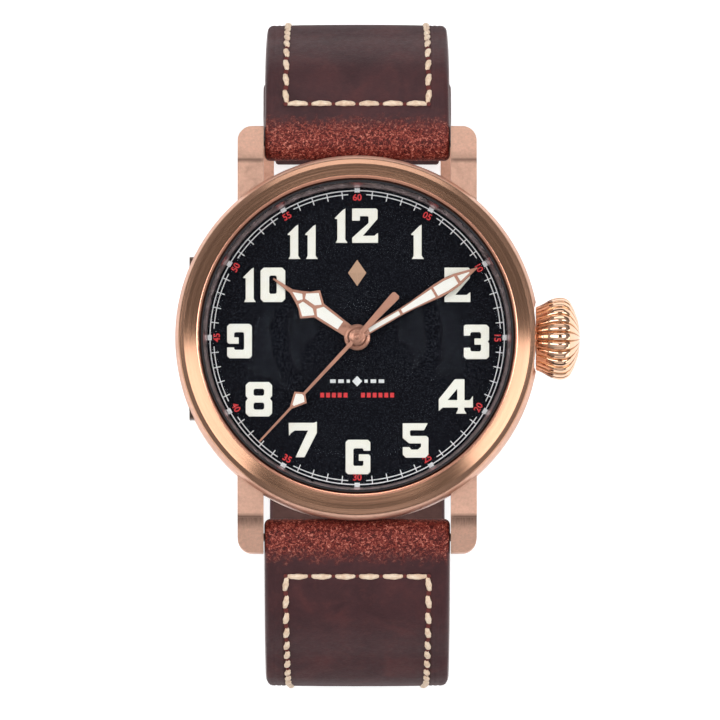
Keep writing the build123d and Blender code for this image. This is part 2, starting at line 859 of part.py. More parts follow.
def barrel_arbor():
    high = plate_bottom_level + jewel_depth
    low = barrel_level - pivot_gap
    top = barrel_level + barrel_height + pivot_gap
    core = round_bar(barrel_arbor_radius, low, top, barrel_place)
    return core + round_bar(barrel_arbor_pivot, bridge_level + jewel_depth, high, barrel_place)


def spiral_solid(start, pitch, turns, thickness, low, high, place):
    """A flat spring wound in half circles, each one larger than the last."""
    line = None
    radius = start
    centre = 0.0
    side = 1
    for half in range(2 * turns):
        begin = (centre + side * radius, 0)
        middle = (centre, side * radius)
        end = (centre - side * radius, 0)
        arc = ThreePointArc(begin, middle, end)
        line = arc if line is None else line + arc
        centre += side * pitch / 2
        radius += pitch / 2
        side = -side
    ribbon = trace(line, thickness)
    return Pos(place[0], place[1], low) * extrude(ribbon, high - low)


def mainspring():
    low = barrel_level + barrel_lid + mainspring_gap
    high = barrel_level + barrel_height - barrel_lid - mainspring_gap
    start = barrel_arbor_radius + mainspring_thickness
    return spiral_solid(
        start, mainspring_pitch, mainspring_turns, mainspring_thickness, low, high, barrel_place
    )


# Going train
def centre_wheel():
    low = centre_wheel_level
    high = low + wheel_thickness
    radius = centre_teeth * centre_module / 2
    wheel = gear(centre_teeth, centre_module, low, high, 0, train_angle_third)
    wheel -= spoke_windows(radius * rim_share, radius * hub_share, 5, wheel_thickness * 2, low, high)
    pinion = gear(
        centre_pinion_teeth, barrel_module, barrel_level, low, 0,
        mesh_phase(centre_pinion_teeth, train_angle_barrel),
    )
    tube = round_bar(centre_tube_radius, barrel_level, hour_hand_level)
    body = wheel + pinion + tube
    return body - round_bar(centre_tube_bore, 0, hour_hand_level + over)


def third_wheel():
    low = third_wheel_level
    high = low + wheel_thickness
    radius = third_teeth * third_module / 2
    phase = train_angle_third + 180.0
    wheel = gear(third_teeth, third_module, low, high, 0, phase)
    wheel -= spoke_windows(radius * rim_share, radius * hub_share, 5, wheel_thickness * 2, low, high)
    pinion_low = centre_wheel_level - wheel_thickness / 2
    pinion_high = plate_bottom_level - pivot_gap
    pinion = gear(
        third_pinion_teeth, centre_module, pinion_low, pinion_high, 0,
        mesh_phase(third_pinion_teeth, train_angle_third + 180.0),
    )
    body = Pos(third_place[0], third_place[1], 0) * (wheel + pinion)
    return body + train_staff(third_place, low, pinion_low)


def train_staff(place, body_low, body_high):
    low = bridge_top - jewel_depth - jewel_thickness
    high = plate_bottom_level + jewel_depth
    return staff(place, low, high, body_low, body_high)


def fourth_wheel():
    low = fourth_wheel_level
    high = low + wheel_thickness
    radius = fourth_teeth * fourth_module / 2
    wheel = gear(fourth_teeth, fourth_module, low, high, 0, train_angle_escape)
    wheel -= spoke_windows(radius * rim_share, radius * hub_share, 5, wheel_thickness * 2, low, high)
    pinion = gear(
        fourth_pinion_teeth, third_module, high, barrel_level - pivot_gap, 0,
        mesh_phase(fourth_pinion_teeth, train_angle_third),
    )
    arbor_low = bridge_top - jewel_depth - jewel_thickness
    arbor = round_bar(second_arbor_radius, arbor_low, second_hand_level)
    return wheel + pinion + arbor


def escape_wheel():
    low = escape_wheel_level
    high = low + wheel_thickness
    step = 360.0 / escape_teeth
    root = escape_radius * escape_root_share
    points = []
    for tooth in range(escape_teeth):
        points.append(polar(root, step * tooth))
        points.append(polar(escape_radius, step * (tooth + escape_back_share)))
        points.append(polar(escape_radius, step * (tooth + escape_tip_share)))
        points.append(polar(root, step * (tooth + escape_front_share)))
    wheel = slab(points, low, high)
    wheel -= spoke_windows(root * rim_share, root * hub_share, 4, wheel_thickness * 2, low, high)
    pinion_high = fourth_wheel_level + wheel_thickness * 2
    pinion = gear(
        escape_pinion_teeth, fourth_module, bridge_top + pivot_gap, pinion_high, 0,
        mesh_phase(escape_pinion_teeth, train_angle_escape + 180.0),
    )
    body = Pos(escape_place[0], escape_place[1], 0) * (wheel + pinion)
    return body + train_staff(escape_place, pinion_high, low)


def pallet_fork():
    low = fork_level
    high = low + wheel_thickness
    arm = escape_radius * pallet_arm_share
    width = wheel_thickness * 2
    tooth_circle = escape_radius + pallet_gap
    stone_end = math.sqrt(tooth_circle**2 - (arm - width / 2) ** 2) - pallet_distance
    beam = block((-width / 2, -arm, low), (width / 2, arm, high))
    for side in (1, -1):
        stone_y = side * arm
        beam += block((stone_end, stone_y - width / 2, low), (width / 2, stone_y + width / 2, high))
    lever = block((0, -width / 2, low), (fork_reach, width / 2, high))
    head = block((fork_reach - 2 * width, -width, low), (fork_reach + width / 2, width, high))
    slot = block((fork_reach - width, -fork_slot / 2, low - over), (fork_reach * 2, fork_slot / 2, high))
    slot = slot + Pos(0, 0, over) * slot
    body = Rot(0, 0, train_angle_pallet) * (beam + lever + head - slot)
    body = Pos(pallet_place[0], pallet_place[1], 0) * body
    staff_low = balance_level + balance_height + pivot_gap
    high = plate_bottom_level
    return body + staff(pallet_place, staff_low, high + jewel_depth, staff_low, high - pivot_gap)


def balance_wheel():
    low = balance_level
    high = low + balance_height
    rim = ring(balance_radius, balance_radius - balance_rim, low, high)
    arms = block((-balance_radius + balance_rim / 2, -balance_arm / 2, low),
                 (balance_radius - balance_rim / 2, balance_arm / 2, high))
    rim += arms + round_bar(roller_radius, low, high)
    pin_place = polar(roller_pin_distance, train_angle_pallet + 180.0)
    rim += round_bar(roller_pin_radius, high, fork_level + wheel_thickness, pin_place)
    body = Pos(balance_place[0], balance_place[1], 0) * rim
    return body + train_staff(balance_place, hairspring_level - pivot_gap, high)


def hairspring():
    return spiral_solid(
        hairspring_start, hairspring_pitch, hairspring_turns, hairspring_thickness,
        hairspring_level, hairspring_level + hairspring_height, balance_place,
    )


# Motion works
def cannon_pinion():
    high = minute_hand_level
    phase = works_angle
    body = gear(cannon_teeth, cannon_module, works_level, works_level + works_thickness, 0, phase)
    body += round_bar(cannon_radius, works_level, high)
    return body - round_bar(cannon_bore, 0, high + over)


def minute_wheel():
    wheel_phase = mesh_phase(minute_wheel_teeth, works_angle + 180.0)
    low = works_level
    high = low + works_thickness
    wheel = gear(minute_wheel_teeth, cannon_module, low, high, 0, wheel_phase)
    pinion = gear(
        minute_pinion_teeth, hour_module, high, works_level + works_step + works_thickness, 0,
        works_angle + 180.0,
    )
    body = wheel + pinion
    post = staff_radius + pivot_gap
    return Pos(works_place[0], works_place[1], 0) * (body - round_bar(post, 0, dial_level))


def hour_wheel():
    low = works_level + works_step
    high = low + works_thickness
    phase = mesh_phase(hour_wheel_teeth, works_angle)
    wheel = gear(hour_wheel_teeth, hour_module, low, high, 0, phase)
    body = wheel + round_bar(hour_tube_radius, low, hour_hand_level)
    return body - round_bar(hour_tube_bore, 0, hour_hand_level + over)


# Movement frame
def jewel_places():
    return [third_place, escape_place, balance_place]


def jewels():
    stones = []
    bridge_low = bridge_top - jewel_depth - jewel_thickness
    plate_low = plate_bottom_level + pivot_gap
    for place in jewel_places():
        for low in (bridge_low, plate_low):
            stones.append(ring(jewel_radius, pivot_radius + pivot_gap, low, low + jewel_thickness, place))
    high = plate_low + jewel_thickness
    stones.append(ring(jewel_radius, pivot_radius + pivot_gap, plate_low, high, pallet_place))
    high = bridge_low + jewel_thickness
    stones.append(ring(jewel_radius, second_arbor_radius + pivot_gap, bridge_low, high))
    return stones


def main_plate():
    body = round_bar(movement_radius, plate_bottom_level, plate_top_level)
    recess_low = plate_top_level - works_recess_depth
    recess_high = plate_top_level + over
    body -= round_bar(works_recess_radius, recess_low, recess_high)
    body -= round_bar(works_recess_radius, recess_low, recess_high, works_place)
    body += round_bar(staff_radius, recess_low, plate_top_level, works_place)
    body -= round_bar(centre_tube_radius + 2 * pivot_gap, 0, dial_level)
    for place in jewel_places() + [pallet_place]:
        seat_top = plate_bottom_level + pivot_gap + jewel_thickness
        body -= round_bar(jewel_radius, plate_bottom_level - over, seat_top, place)
    body -= round_bar(barrel_arbor_pivot + pivot_gap, 0, plate_bottom_level + jewel_depth, barrel_place)
    body -= stem_cut()
    for place in screw_places():
        body -= round_bar(bridge_screw_shank, plate_bottom_level - over, screw_end, place)
    return body


def stem_cut():
    """The room for stem, clutch and winding pinion in the main plate and the bridge."""
    half = pinion_tip_radius + keeper_gap
    start = clutch_start - keeper_gap
    low = (start, -half, 0)
    high = (movement_radius + over, half, stem_level + half - keeper_gap / 2)
    pilot = cross_bar(stem_radius + stem_gap, 0, movement_radius + over, z=stem_level)
    return block(low, high) + pilot


screw_end = plate_bottom_level + 0.9
screw_angles_share = (0.045, 0.2, 0.33, 0.47, 0.60, 0.72)


def screw_places():
    return [polar(bridge_screw_circle, 360 * share) for share in screw_angles_share]


def bridge_screws():
    screws = []
    for place in screw_places():
        head = round_bar(bridge_screw_radius, bridge_level, bridge_level + bridge_screw_head, place)
        screw = head + round_bar(bridge_screw_shank, bridge_level, screw_end, place)
        slot = block(
            (place[0] - bridge_screw_radius, place[1] - screw_slot_width / 2, 0),
            (place[0] + bridge_screw_radius, place[1] + screw_slot_width / 2,
             bridge_level + screw_slot_depth),
        )
        screws.append(screw - slot)
    return screws


def bridge_blank():
    """A round plate with a rim that stands on the main plate, before it is parted."""
    body = round_bar(bridge_radius, bridge_level, bridge_top)
    inner = bridge_radius - bridge_foot_width
    body += ring(bridge_radius, inner, bridge_level, plate_bottom_level)
    for place in screw_places():
        body -= round_bar(bridge_screw_radius, 0, bridge_level + bridge_screw_head, place)
        body -= round_bar(bridge_screw_shank, 0, plate_bottom_level + over, place)
    half = stem_window_width / 2
    low = (stem_window_reach, -half, bridge_top)
    body -= block(low, (bridge_radius + over, half, plate_bottom_level + over))
    for place in jewel_places() + [(0, 0)]:
        low = bridge_top - jewel_depth - jewel_thickness
        body -= round_bar(jewel_radius, low, bridge_top + over, place)
    body -= round_bar(barrel_arbor_pivot + pivot_gap, bridge_level + jewel_depth, bridge_top + over,
                      barrel_place)
    return body


def half_plane(distance, angle, keep_far):
    reach = 2 * movement_radius
    low = distance if keep_far else -reach
    high = reach if keep_far else distance
    return Rot(0, 0, angle) * block((low, -reach, 0), (high, reach, reach))


def barrel_bridge():
    body = bridge_blank() & half_plane(bridge_split, train_angle_barrel, True)
    wheel_post = round_bar(crown_wheel_bore, bridge_top, ratchet_level + ratchet_thickness,
                           (crown_wheel_reach, 0))
    return body + wheel_post


def train_bridge():
    body = bridge_blank() & half_plane(bridge_split - bridge_slot, train_angle_barrel, False)
    reach = 2 * movement_radius
    return body & block((-reach, cock_line + bridge_slot, 0), (reach, reach, reach))


def balance_cock():
    body = bridge_blank() & half_plane(bridge_split - bridge_slot, train_angle_barrel, False)
    reach = 2 * movement_radius
    return body & block((-reach, -reach, 0), (cock_right, cock_line, reach))


def movement_ring():
    outer = cavity_radius - movement_ring_side_gap
    body = ring(outer, movement_radius + movement_ring_gap, ring_bottom, dial_bottom)
    half = clutch_radius + keeper_gap
    body -= cross_bar(half, 0, cavity_radius + over, z=stem_level)
    return body


def dial():
    body = round_bar(cavity_radius - dial_gap, dial_bottom, dial_level)
    return body - round_bar(dial_hole_radius, dial_bottom - over, dial_level + over)


# Hands, drawn pointing along +Y as shares of their length and half width
hour_hand_shares = [(0.0, 0.37), (0.124, 0.377), (0.455, 0.488), (0.562, 1.0), (0.631, 0.60),
                    (0.702, 0.365), (0.785, 0.135), (1.0, 0.05)]
hour_panel_shares = [
    [(0.771, 0.0), (0.682, 0.242), (0.648, 0.0), (0.682, -0.242)],
    [(0.654, 0.377), (0.556, 0.823), (0.466, 0.367), (0.518, 0.107), (0.634, 0.102)],
    [(0.654, -0.377), (0.556, -0.823), (0.466, -0.367), (0.518, -0.107), (0.634, -0.102)],
    [(0.485, 0.0), (0.438, 0.34), (0.2, 0.274), (0.2, -0.274), (0.438, -0.34)],
]
minute_hand_shares = [(0.0, 0.458), (0.366, 0.458), (0.457, 0.545), (0.56, 0.75), (0.67, 0.96),
                      (0.763, 1.0), (0.829, 0.85), (1.0, 0.06)]
minute_panel_shares = [
    [(0.098, 0.273), (0.351, 0.273), (0.351, -0.273), (0.098, -0.273)],
    [(0.372, 0.273), (0.634, 0.60), (0.634, -0.60), (0.372, -0.273)],
    [(0.652, 0.63), (0.74, 0.70), (0.823, 0.55), (0.823, -0.55), (0.74, -0.70), (0.652, -0.63)],
    [(0.845, 0.42), (0.933, 0.06), (0.933, -0.06), (0.845, -0.42)],
]
second_hand_shares = [(-0.408, 0.35), (-0.395, 0.53), (-0.36, 0.53), (0.0, 0.25), (0.541, 0.16),
                      (0.58, 1.0), (0.68, 0.14), (1.0, 0.11)]
second_panel_shares = [[(0.556, 0.15), (0.583, 0.72), (0.655, 0.12), (0.655, -0.12),
                        (0.583, -0.72), (0.556, -0.15)]]


def hand_points(shares, length, half_width):
    return [(across * half_width, along * length) for along, across in shares]


def hand_frame(shares, panels, length, half_width, level, hub_radius, bore, angle):
    right = hand_points(shares, length, half_width)
    left = [(-x, y) for x, y in reversed(right)]
    high = level + hand_thickness
    body = slab(right + left, level, high) + round_bar(hub_radius, level, high)
    for panel in panels:
        cut = slab(hand_points(panel, length, half_width), level - over, high + over)
        body -= cut - round_bar(hub_radius, level - over, high + over)
    if bore > 0:
        body -= round_bar(bore, level - over, high + over)
    return Rot(0, 0, -angle) * body


def hand_lume(panels, length, half_width, level, angle):
    high = level + hand_thickness - lume_drop
    return [Rot(0, 0, -angle) * slab(hand_points(p, length, half_width), level, high) for p in panels]


def hour_hand():
    body = hand_frame(
        hour_hand_shares, hour_panel_shares, hour_hand_length, hour_hand_half_width,
        hour_hand_level, hour_hub_radius, hour_tube_bore, hour_hand_angle,
    )
    return body


def minute_hand():
    return hand_frame(
        minute_hand_shares, minute_panel_shares, minute_hand_length, minute_hand_half_width,
        minute_hand_level, minute_hub_radius, cannon_bore, minute_hand_angle,
    )


def second_hand():
    body = hand_frame(
        second_hand_shares, second_panel_shares, second_hand_length, second_hand_half_width,
        second_hand_level, second_hub_radius, 0, second_hand_angle,
    )
    return body + round_bar(second_hub_radius, second_hand_level, second_hand_level + second_hub_height)


# Rotor
def rotor():
    plate_high = rotor_level + rotor_plate_thickness
    rim_high = rotor_level + rotor_rim_height
    sector = half_plane(0, -90, True)
    body = round_bar(rotor_radius, rotor_level, plate_high) & sector
    windows = spoke_windows(
        rotor_radius - rotor_rim_width, rotor_hub_radius + rotor_rim_width, 4, rotor_arm_width,
        rotor_level, plate_high,
    )
    body -= windows & half_plane(rotor_rim_width, -90, True)
    rim = ring(rotor_radius, rotor_radius - rotor_rim_width, rotor_level, rim_high) & sector
    body += rim + round_bar(rotor_hub_radius, rotor_level, plate_high)
    return body - round_bar(rotor_axle_radius + rotor_gap, 0, rim_high + over)


def rotor_axle():
    head_high = rotor_level - rotor_gap
    head = round_bar(rotor_axle_head, head_high - rotor_axle_head_height, head_high)
    shaft = round_bar(rotor_axle_radius, head_high, bridge_level)
    collar = round_bar(rotor_axle_head, rotor_level + rotor_plate_thickness + rotor_gap, bridge_level)
    return head + shaft + collar


# Strap
def offset_points(points, halves, side):
    """The points moved off the line by the half thickness, along the turn at each point."""
    moved = []
    for index, (y, z) in enumerate(points):
        before = points[max(index - 1, 0)]
        after = points[min(index + 1, len(points) - 1)]
        legs = []
        for start, end in ((before, (y, z)), ((y, z), after)):
            length = math.hypot(end[0] - start[0], end[1] - start[1])
            if length > 0:
                legs.append(((end[0] - start[0]) / length, (end[1] - start[1]) / length))
        normals = [(-leg[1] * side, leg[0] * side) for leg in legs]
        ny = sum(n[0] for n in normals) / len(normals)
        nz = sum(n[1] for n in normals) / len(normals)
        stretch = halves[index] / (ny**2 + nz**2)
        moved.append((y + ny * stretch, z + nz * stretch))
    return moved


def bend_radii(points):
    """The radius at each corner, whose tangents take a share of the shorter run beside it."""
    radii = []
    for before, here, after, share in zip(points, points[1:], points[2:], strap_bend_shares):
        run = min(math.dist(before, here), math.dist(here, after))
        heading = math.atan2(here[1] - before[1], here[0] - before[0])
        turn = math.atan2(after[1] - here[1], after[0] - here[0]) - heading
        turn = abs((turn + math.pi) % (2 * math.pi) - math.pi)
        radii.append(share * run / math.tan(turn / 2))
    return radii


def fillet_line(points, radii):
    return FilletPolyline(*points, radius=radii)


def strap_band(points, outer_halves, inner_halves, bends):
    """The side view of a band about the middle line, thicker where the halves are larger."""
    outer = offset_points(points, outer_halves, 1)
    inner = offset_points(points, inner_halves, -1)
    outer_line = fillet_line(outer, [b + h for b, h in zip(bends, outer_halves[1:-1])])
    inner_line = fillet_line(inner, [b - h for b, h in zip(bends, inner_halves[1:-1])])
    ends = Line(outer[0], inner[0]) + Line(outer[-1], inner[-1])
    return make_face(outer_line + inner_line + ends)


short_line = [
    (bar_reach, bar_height),
    (strap_reach - strap_shoulder_inset, strap_shoulder_level),
    (strap_reach, strap_elbow_level),
    (strap_reach, strap_knee_level),
    (strap_end_reach, strap_end_level),
]
short_halves = [root_half, shoulder_half, elbow_half, knee_half, end_half]
short_bends = bend_radii(short_line)
long_line = short_line[:4] + [(strap_foot_reach, strap_foot_level), (-strap_tail_reach, strap_foot_level)]
long_halves = [root_half, shoulder_half, elbow_half, knee_half, end_half, end_half]
long_bends = bend_radii(long_line)


def strap_plan():
    """The front view that narrows the strap from the lugs to its end."""
    top = bar_height + 2 * roll_radius
    low = strap_foot_level - over * 2
    half = strap_width / 2
    end = strap_end_width / 2
    points = [(-half, top), (half, top), (half, bar_height), (end, low), (-end, low),
              (-half, bar_height)]
    return extrude(Plane.XZ * make_face(Polyline(*points, close=True)), lug_span * 2, both=True)


stitch_row = strap_width / 2 - stitch_inset
strap_taper = (strap_width - strap_end_width) / 2 / (bar_height - strap_foot_level + 2 * over)
taper_angle = math.degrees(math.atan(strap_taper))


def at_row(side):
    """The place of a stitch row, which follows the strap's taper."""
    return Pos(side * stitch_row, 0, bar_height) * Rot(0, side * taper_angle, 0) * Pos(0, 0, -bar_height)


def stitch_spot(path, distance):
    """The point and the lean of the path at a distance along it."""
    share = distance / path.length
    along = path % share
    return path @ share, math.degrees(math.atan2(along.Y, along.X))


def lining_halves(halves):
    return [-(half - 2 * lining_half) for half in halves]


def strap_leather(line, halves, bends):
    outer_part = strap_band(line, halves, [h - 2 * lining_half for h in halves], bends)
    body = side_slab(outer_part, strap_width / 2)
    body += cross_bar(roll_radius, -strap_width / 2, strap_width / 2, bar_reach, bar_height)
    body -= cross_bar(bar_radius + roll_gap, -strap_width, strap_width, bar_reach, bar_height)
    groove = strap_band(line, [h + over for h in halves],
                        [-(h - stitch_groove_depth) for h in halves], bends)
    groove_solid = side_slab(groove, stitch_groove_width / 2)
    groove_solid -= cross_bar(stitch_start, -strap_width, strap_width, bar_reach, bar_height)
    for side in (-1, 1):
        body -= at_row(side) * groove_solid
    here, angle = stitch_spot(middle_path(line, halves, bends), stitch_start)
    cross_length = 2 * stitch_row + stitch_groove_width
    cross_groove = Box(cross_length, stitch_groove_width, stitch_height)
    body -= Pos(0, here.X, here.Y) * Rot(angle, 0, 0) * cross_groove
    return body & strap_plan()


def strap_lining(line, halves, bends):
    part = strap_band(line, lining_halves(halves), halves, bends)
    body = side_slab(part, strap_width / 2)
    body -= cross_bar(roll_radius, -strap_width, strap_width, bar_reach, bar_height)
    return body & strap_plan()


def middle_path(line, halves, bends):
    """The line on which the stitches lie, with their undersides on the groove's floor."""
    levels = [h - stitch_groove_depth + stitch_height / 2 for h in halves]
    return fillet_line(offset_points(line, levels, 1), [b + h for b, h in zip(bends, levels[1:-1])])


def strap_stitching(line, halves, bends, end_margin):
    path = middle_path(line, halves, bends)
    length = path.length
    first = stitch_start + stitch_pitch / 2
    count = int((length - first - end_margin) / stitch_pitch)
    stitches = []
    for index in range(count):
        here, angle = stitch_spot(path, first + stitch_pitch * index)
        row = stitch_row - strap_taper * (bar_height - here.Y)
        for x in (-row, row):
            stitch = Box(stitch_width, stitch_length, stitch_height)
            stitches.append(Pos(x, here.X, here.Y) * Rot(angle, 0, 0) * stitch)
    here, angle = stitch_spot(path, stitch_start)
    for index in range(cross_stitch_count):
        x = stitch_pitch * (index - (cross_stitch_count - 1) / 2)
        stitch = Box(stitch_length, stitch_width, stitch_height)
        stitches.append(Pos(x, here.X, here.Y) * Rot(angle, 0, 0) * stitch)
    return stitches


def along_end(distance):
    """A place on the short half's straight end run, measured back from the buckle bar."""
    dy = strap_reach - strap_end_reach
    dz = strap_knee_level - strap_end_level
    run = math.hypot(dy, dz)
    return strap_end_reach + dy * distance / run, strap_end_level + dz * distance / run


end_angle = math.degrees(
    math.atan2(strap_knee_level - strap_end_level, strap_reach - strap_end_reach)
)


def short_leather():
    body = strap_leather(short_line, short_halves, short_bends)
    width = strap_end_width
    end = (strap_end_reach, strap_end_level)
    roll = cross_bar(end_roll_radius, -width / 2, width / 2, *end)
    body += roll & strap_plan()
    body -= cross_bar(buckle_bar_radius + roll_gap, -width, width, *end)
    slot_half = tongue_slot_width / 2
    ring_room = tongue_ring_radius + keeper_gap
    slot = Box(2 * slot_half, 2 * ring_room + end_roll_radius, 2 * end_roll_radius + over)
    body -= Pos(0, *end) * Rot(end_angle, 0, 0) * Pos(0, -end_roll_radius / 2, 0) * slot
    return body


def short_lining():
    body = strap_lining(short_line, short_halves, short_bends)
    end = (strap_end_reach, strap_end_level)
    body -= cross_bar(end_roll_radius, -strap_width, strap_width, *end)
    return body


def strap_holes(body):
    half = strap_hole_width / 2
    for index in range(strap_hole_count):
        y = strap_tail_reach - strap_hole_start - strap_hole_pitch * index
        if y < -strap_foot_reach + long_bends[3] / 2:
            continue
        pin = block((-half, y - strap_hole_length / 2, strap_foot_level - over * 2),
                    (half, y + strap_hole_length / 2, strap_foot_level + over * 2))
        body -= pin
    return body


def tail_plan():
    """The rounded end of the long half, seen from above."""
    reach = strap_tail_reach
    half = strap_end_width
    box = block((-half, -lug_span * 2, strap_foot_level * 2), (half, reach - tail_round, lug_span))
    nose = round_bar(strap_end_width / 2, strap_foot_level * 2, 0, (0, 0))
    squash = tail_round / (strap_end_width / 2)
    nose = Pos(0, reach - tail_round, 0) * scale(nose, (1, squash, 1))
    return box + nose


def long_leather():
    body = strap_leather(long_line, long_halves, long_bends)
    return strap_holes(twelve_to_six(body) & tail_plan())


def long_lining():
    body = strap_lining(long_line, long_halves, long_bends)
    return strap_holes(twelve_to_six(body) & tail_plan())


def long_stitching():
    stitches = strap_stitching(long_line, long_halves, long_bends, stitch_end_margin + tail_round)
    return [twelve_to_six(stitch) for stitch in stitches]


# Buckle and keepers
def place_at_end(shape, lean):
    """A piece drawn along -Y from the buckle bar, set at the short half's end."""
    return Pos(0, strap_end_reach, strap_end_level) * Rot(lean, 0, 0) * shape


def buckle_frame():
    half = buckle_inside / 2
    outside = half + buckle_arm_width
    plan = RectangleRounded(2 * outside, buckle_length + buckle_half * 2, buckle_arm_width)
    body = Pos(0, -buckle_length / 2, -buckle_half) * extrude(plan, 2 * buckle_half)
    window_high = (half, buckle_half + over, over)
    body -= block((-half, -buckle_length + buckle_half + buckle_far_width / 2 - buckle_half, -over),
                  window_high)
    bore = buckle_bar_radius / 2 + pivot_gap
    body -= cross_bar(bore, -half - buckle_arm_width / 2, half + buckle_arm_width / 2)
    notch = tongue_width / 2 + keeper_gap / 2
    body -= block((-notch, -buckle_length - over, -over), (notch, -buckle_length / 2, 0))
    return place_at_end(body, buckle_lean)


def buckle_tongue():
    half = tongue_width / 2
    ring_part = cross_bar(tongue_ring_radius, -half, half)
    top = -keeper_gap / 2
    bar = block((-half, -buckle_length - buckle_half / 2, top - 2 * tongue_half), (half, 0, top))
    body = ring_part + bar - cross_bar(buckle_bar_radius + roll_gap, -over, over)
    return place_at_end(body, buckle_lean)


def buckle_spring_bar():
    half_length = buckle_inside / 2 - strap_side_gap
    bar = spring_bar(
        half_length, buckle_bar_radius, buckle_bar_radius * 0.8, buckle_bar_radius / 2,
        buckle_arm_width / 2, bar_flange_width,
    )
    return Pos(0, strap_end_reach, strap_end_level) * bar


def keeper(distance):
    y, z = along_end(distance)
    half_w = strap_end_width / 2 + strap_side_gap * 2 + keeper_gap
    half_t = knee_half + keeper_gap
    outer = RectangleRounded(
        2 * (half_w + keeper_thickness), 2 * (half_t + keeper_thickness), keeper_thickness
    )
    inner = Rectangle(2 * half_w, 2 * half_t)
    tube = extrude(outer - inner, keeper_width / 2, both=True)
    standing = Rot(90, 0, 0) * tube
    return Pos(0, y, z) * Rot(end_angle, 0, 0) * standing


# Write every piece
os.makedirs("parts", exist_ok=True)
save("mid_case", middle_case())
save("bezel", bezel())
save("crystal", crystal())
gasket_high = crystal_bottom + crystal_edge_height - crystal_bevel
save("crystal_gasket", ring(bezel_bore_radius, crystal_radius, crystal_bottom, gasket_high))
save("rehaut_ring", rehaut_ring())
save("case_back", case_back())
save("case_back_gasket", ring(
    back_gasket_radius + back_gasket_width / 2, back_gasket_radius - back_gasket_width / 2,
    case_bottom, case_bottom + back_gasket_height,
))
save("crown_tube", crown_tube())
plate_bores = side_plate_screws()
save("side_plate", side_plate_shape(0, plate_thickness) - plate_bores)
save("side_plate_screws", *plate_bores)
save("strap_spring_bars", *strap_spring_bars())
save("dial", dial())
save("hour_numerals", *hour_numerals())
save("dial_marker", dial_marker())
save("movement_ring", movement_ring())
save("main_plate", main_plate())
save("barrel_bridge", barrel_bridge())
save("train_bridge", train_bridge())
save("balance_cock", balance_cock())
save("jewels", *jewels())
save("bridge_screws", *bridge_screws())
save("crown", crown())
save("crown_gasket", crown_gasket())
save("winding_stem", winding_stem())
save("sliding_clutch", sliding_clutch())
save("winding_pinion", winding_pinion())
save("crown_wheel", crown_wheel())
save("ratchet_wheel", ratchet_wheel())
save("barrel_drum", barrel_drum())
save("barrel_arbor", barrel_arbor())
save("mainspring", mainspring())
save("centre_wheel", centre_wheel())
save("third_wheel", third_wheel())
save("fourth_wheel", fourth_wheel())
save("escape_wheel", escape_wheel())
save("pallet_fork", pallet_fork())
save("balance_wheel", balance_wheel())
save("hairspring", hairspring())
save("cannon_pinion", cannon_pinion())
save("minute_wheel", minute_wheel())
save("hour_wheel", hour_wheel())
save("hour_hand", hour_hand())
save("minute_hand", minute_hand())
save("second_hand", second_hand())
save("hour_hand_lume", *hand_lume(
    hour_panel_shares, hour_hand_length, hour_hand_half_width, hour_hand_level, hour_hand_angle
))
save("minute_hand_lume", *hand_lume(
    minute_panel_shares, minute_hand_length, minute_hand_half_width, minute_hand_level,
    minute_hand_angle,
))
save("second_hand_lume", *hand_lume(
    second_panel_shares, second_hand_length, second_hand_half_width, second_hand_level,
    second_hand_angle,
))
save("rotor", rotor())
save("rotor_axle", rotor_axle())
save("strap_12_leather", short_leather())
save("strap_12_lining", short_lining())
save("strap_12_stitching", *strap_stitching(short_line, short_halves, short_bends, stitch_end_margin))
save("strap_6_leather", long_leather())
save("strap_6_lining", long_lining())
save("strap_6_stitching", *long_stitching())
save("buckle_frame", buckle_frame())
save("buckle_tongue", buckle_tongue())
save("buckle_spring_bar", buckle_spring_bar())
save("fixed_keeper", keeper(fixed_keeper_from_end))
save("sliding_keeper", keeper(sliding_keeper_from_end))
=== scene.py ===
import json
import math

import bmesh
import bpy
from mathutils import Matrix, Vector


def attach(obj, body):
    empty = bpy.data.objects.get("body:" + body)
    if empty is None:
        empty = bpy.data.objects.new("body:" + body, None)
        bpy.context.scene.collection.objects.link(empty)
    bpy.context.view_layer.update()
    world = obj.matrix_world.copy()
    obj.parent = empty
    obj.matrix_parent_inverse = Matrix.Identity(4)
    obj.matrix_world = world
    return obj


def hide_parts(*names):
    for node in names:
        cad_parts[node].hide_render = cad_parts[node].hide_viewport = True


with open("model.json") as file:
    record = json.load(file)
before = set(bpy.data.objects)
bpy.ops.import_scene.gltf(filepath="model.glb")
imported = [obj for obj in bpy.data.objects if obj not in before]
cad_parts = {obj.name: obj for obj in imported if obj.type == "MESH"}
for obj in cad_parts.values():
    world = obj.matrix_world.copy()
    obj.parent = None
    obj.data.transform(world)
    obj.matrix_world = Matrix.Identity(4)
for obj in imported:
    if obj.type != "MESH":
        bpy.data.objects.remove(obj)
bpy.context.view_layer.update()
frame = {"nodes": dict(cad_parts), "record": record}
nodes = frame["nodes"]

# Lengths below are in millimetres, and MM turns them into metres.
MM = 0.001

# Materials

# Most values of a noise lie between these two.
NOISE_MIDDLE = (0.3, 0.7)
COAT_ROUGH = 0.1


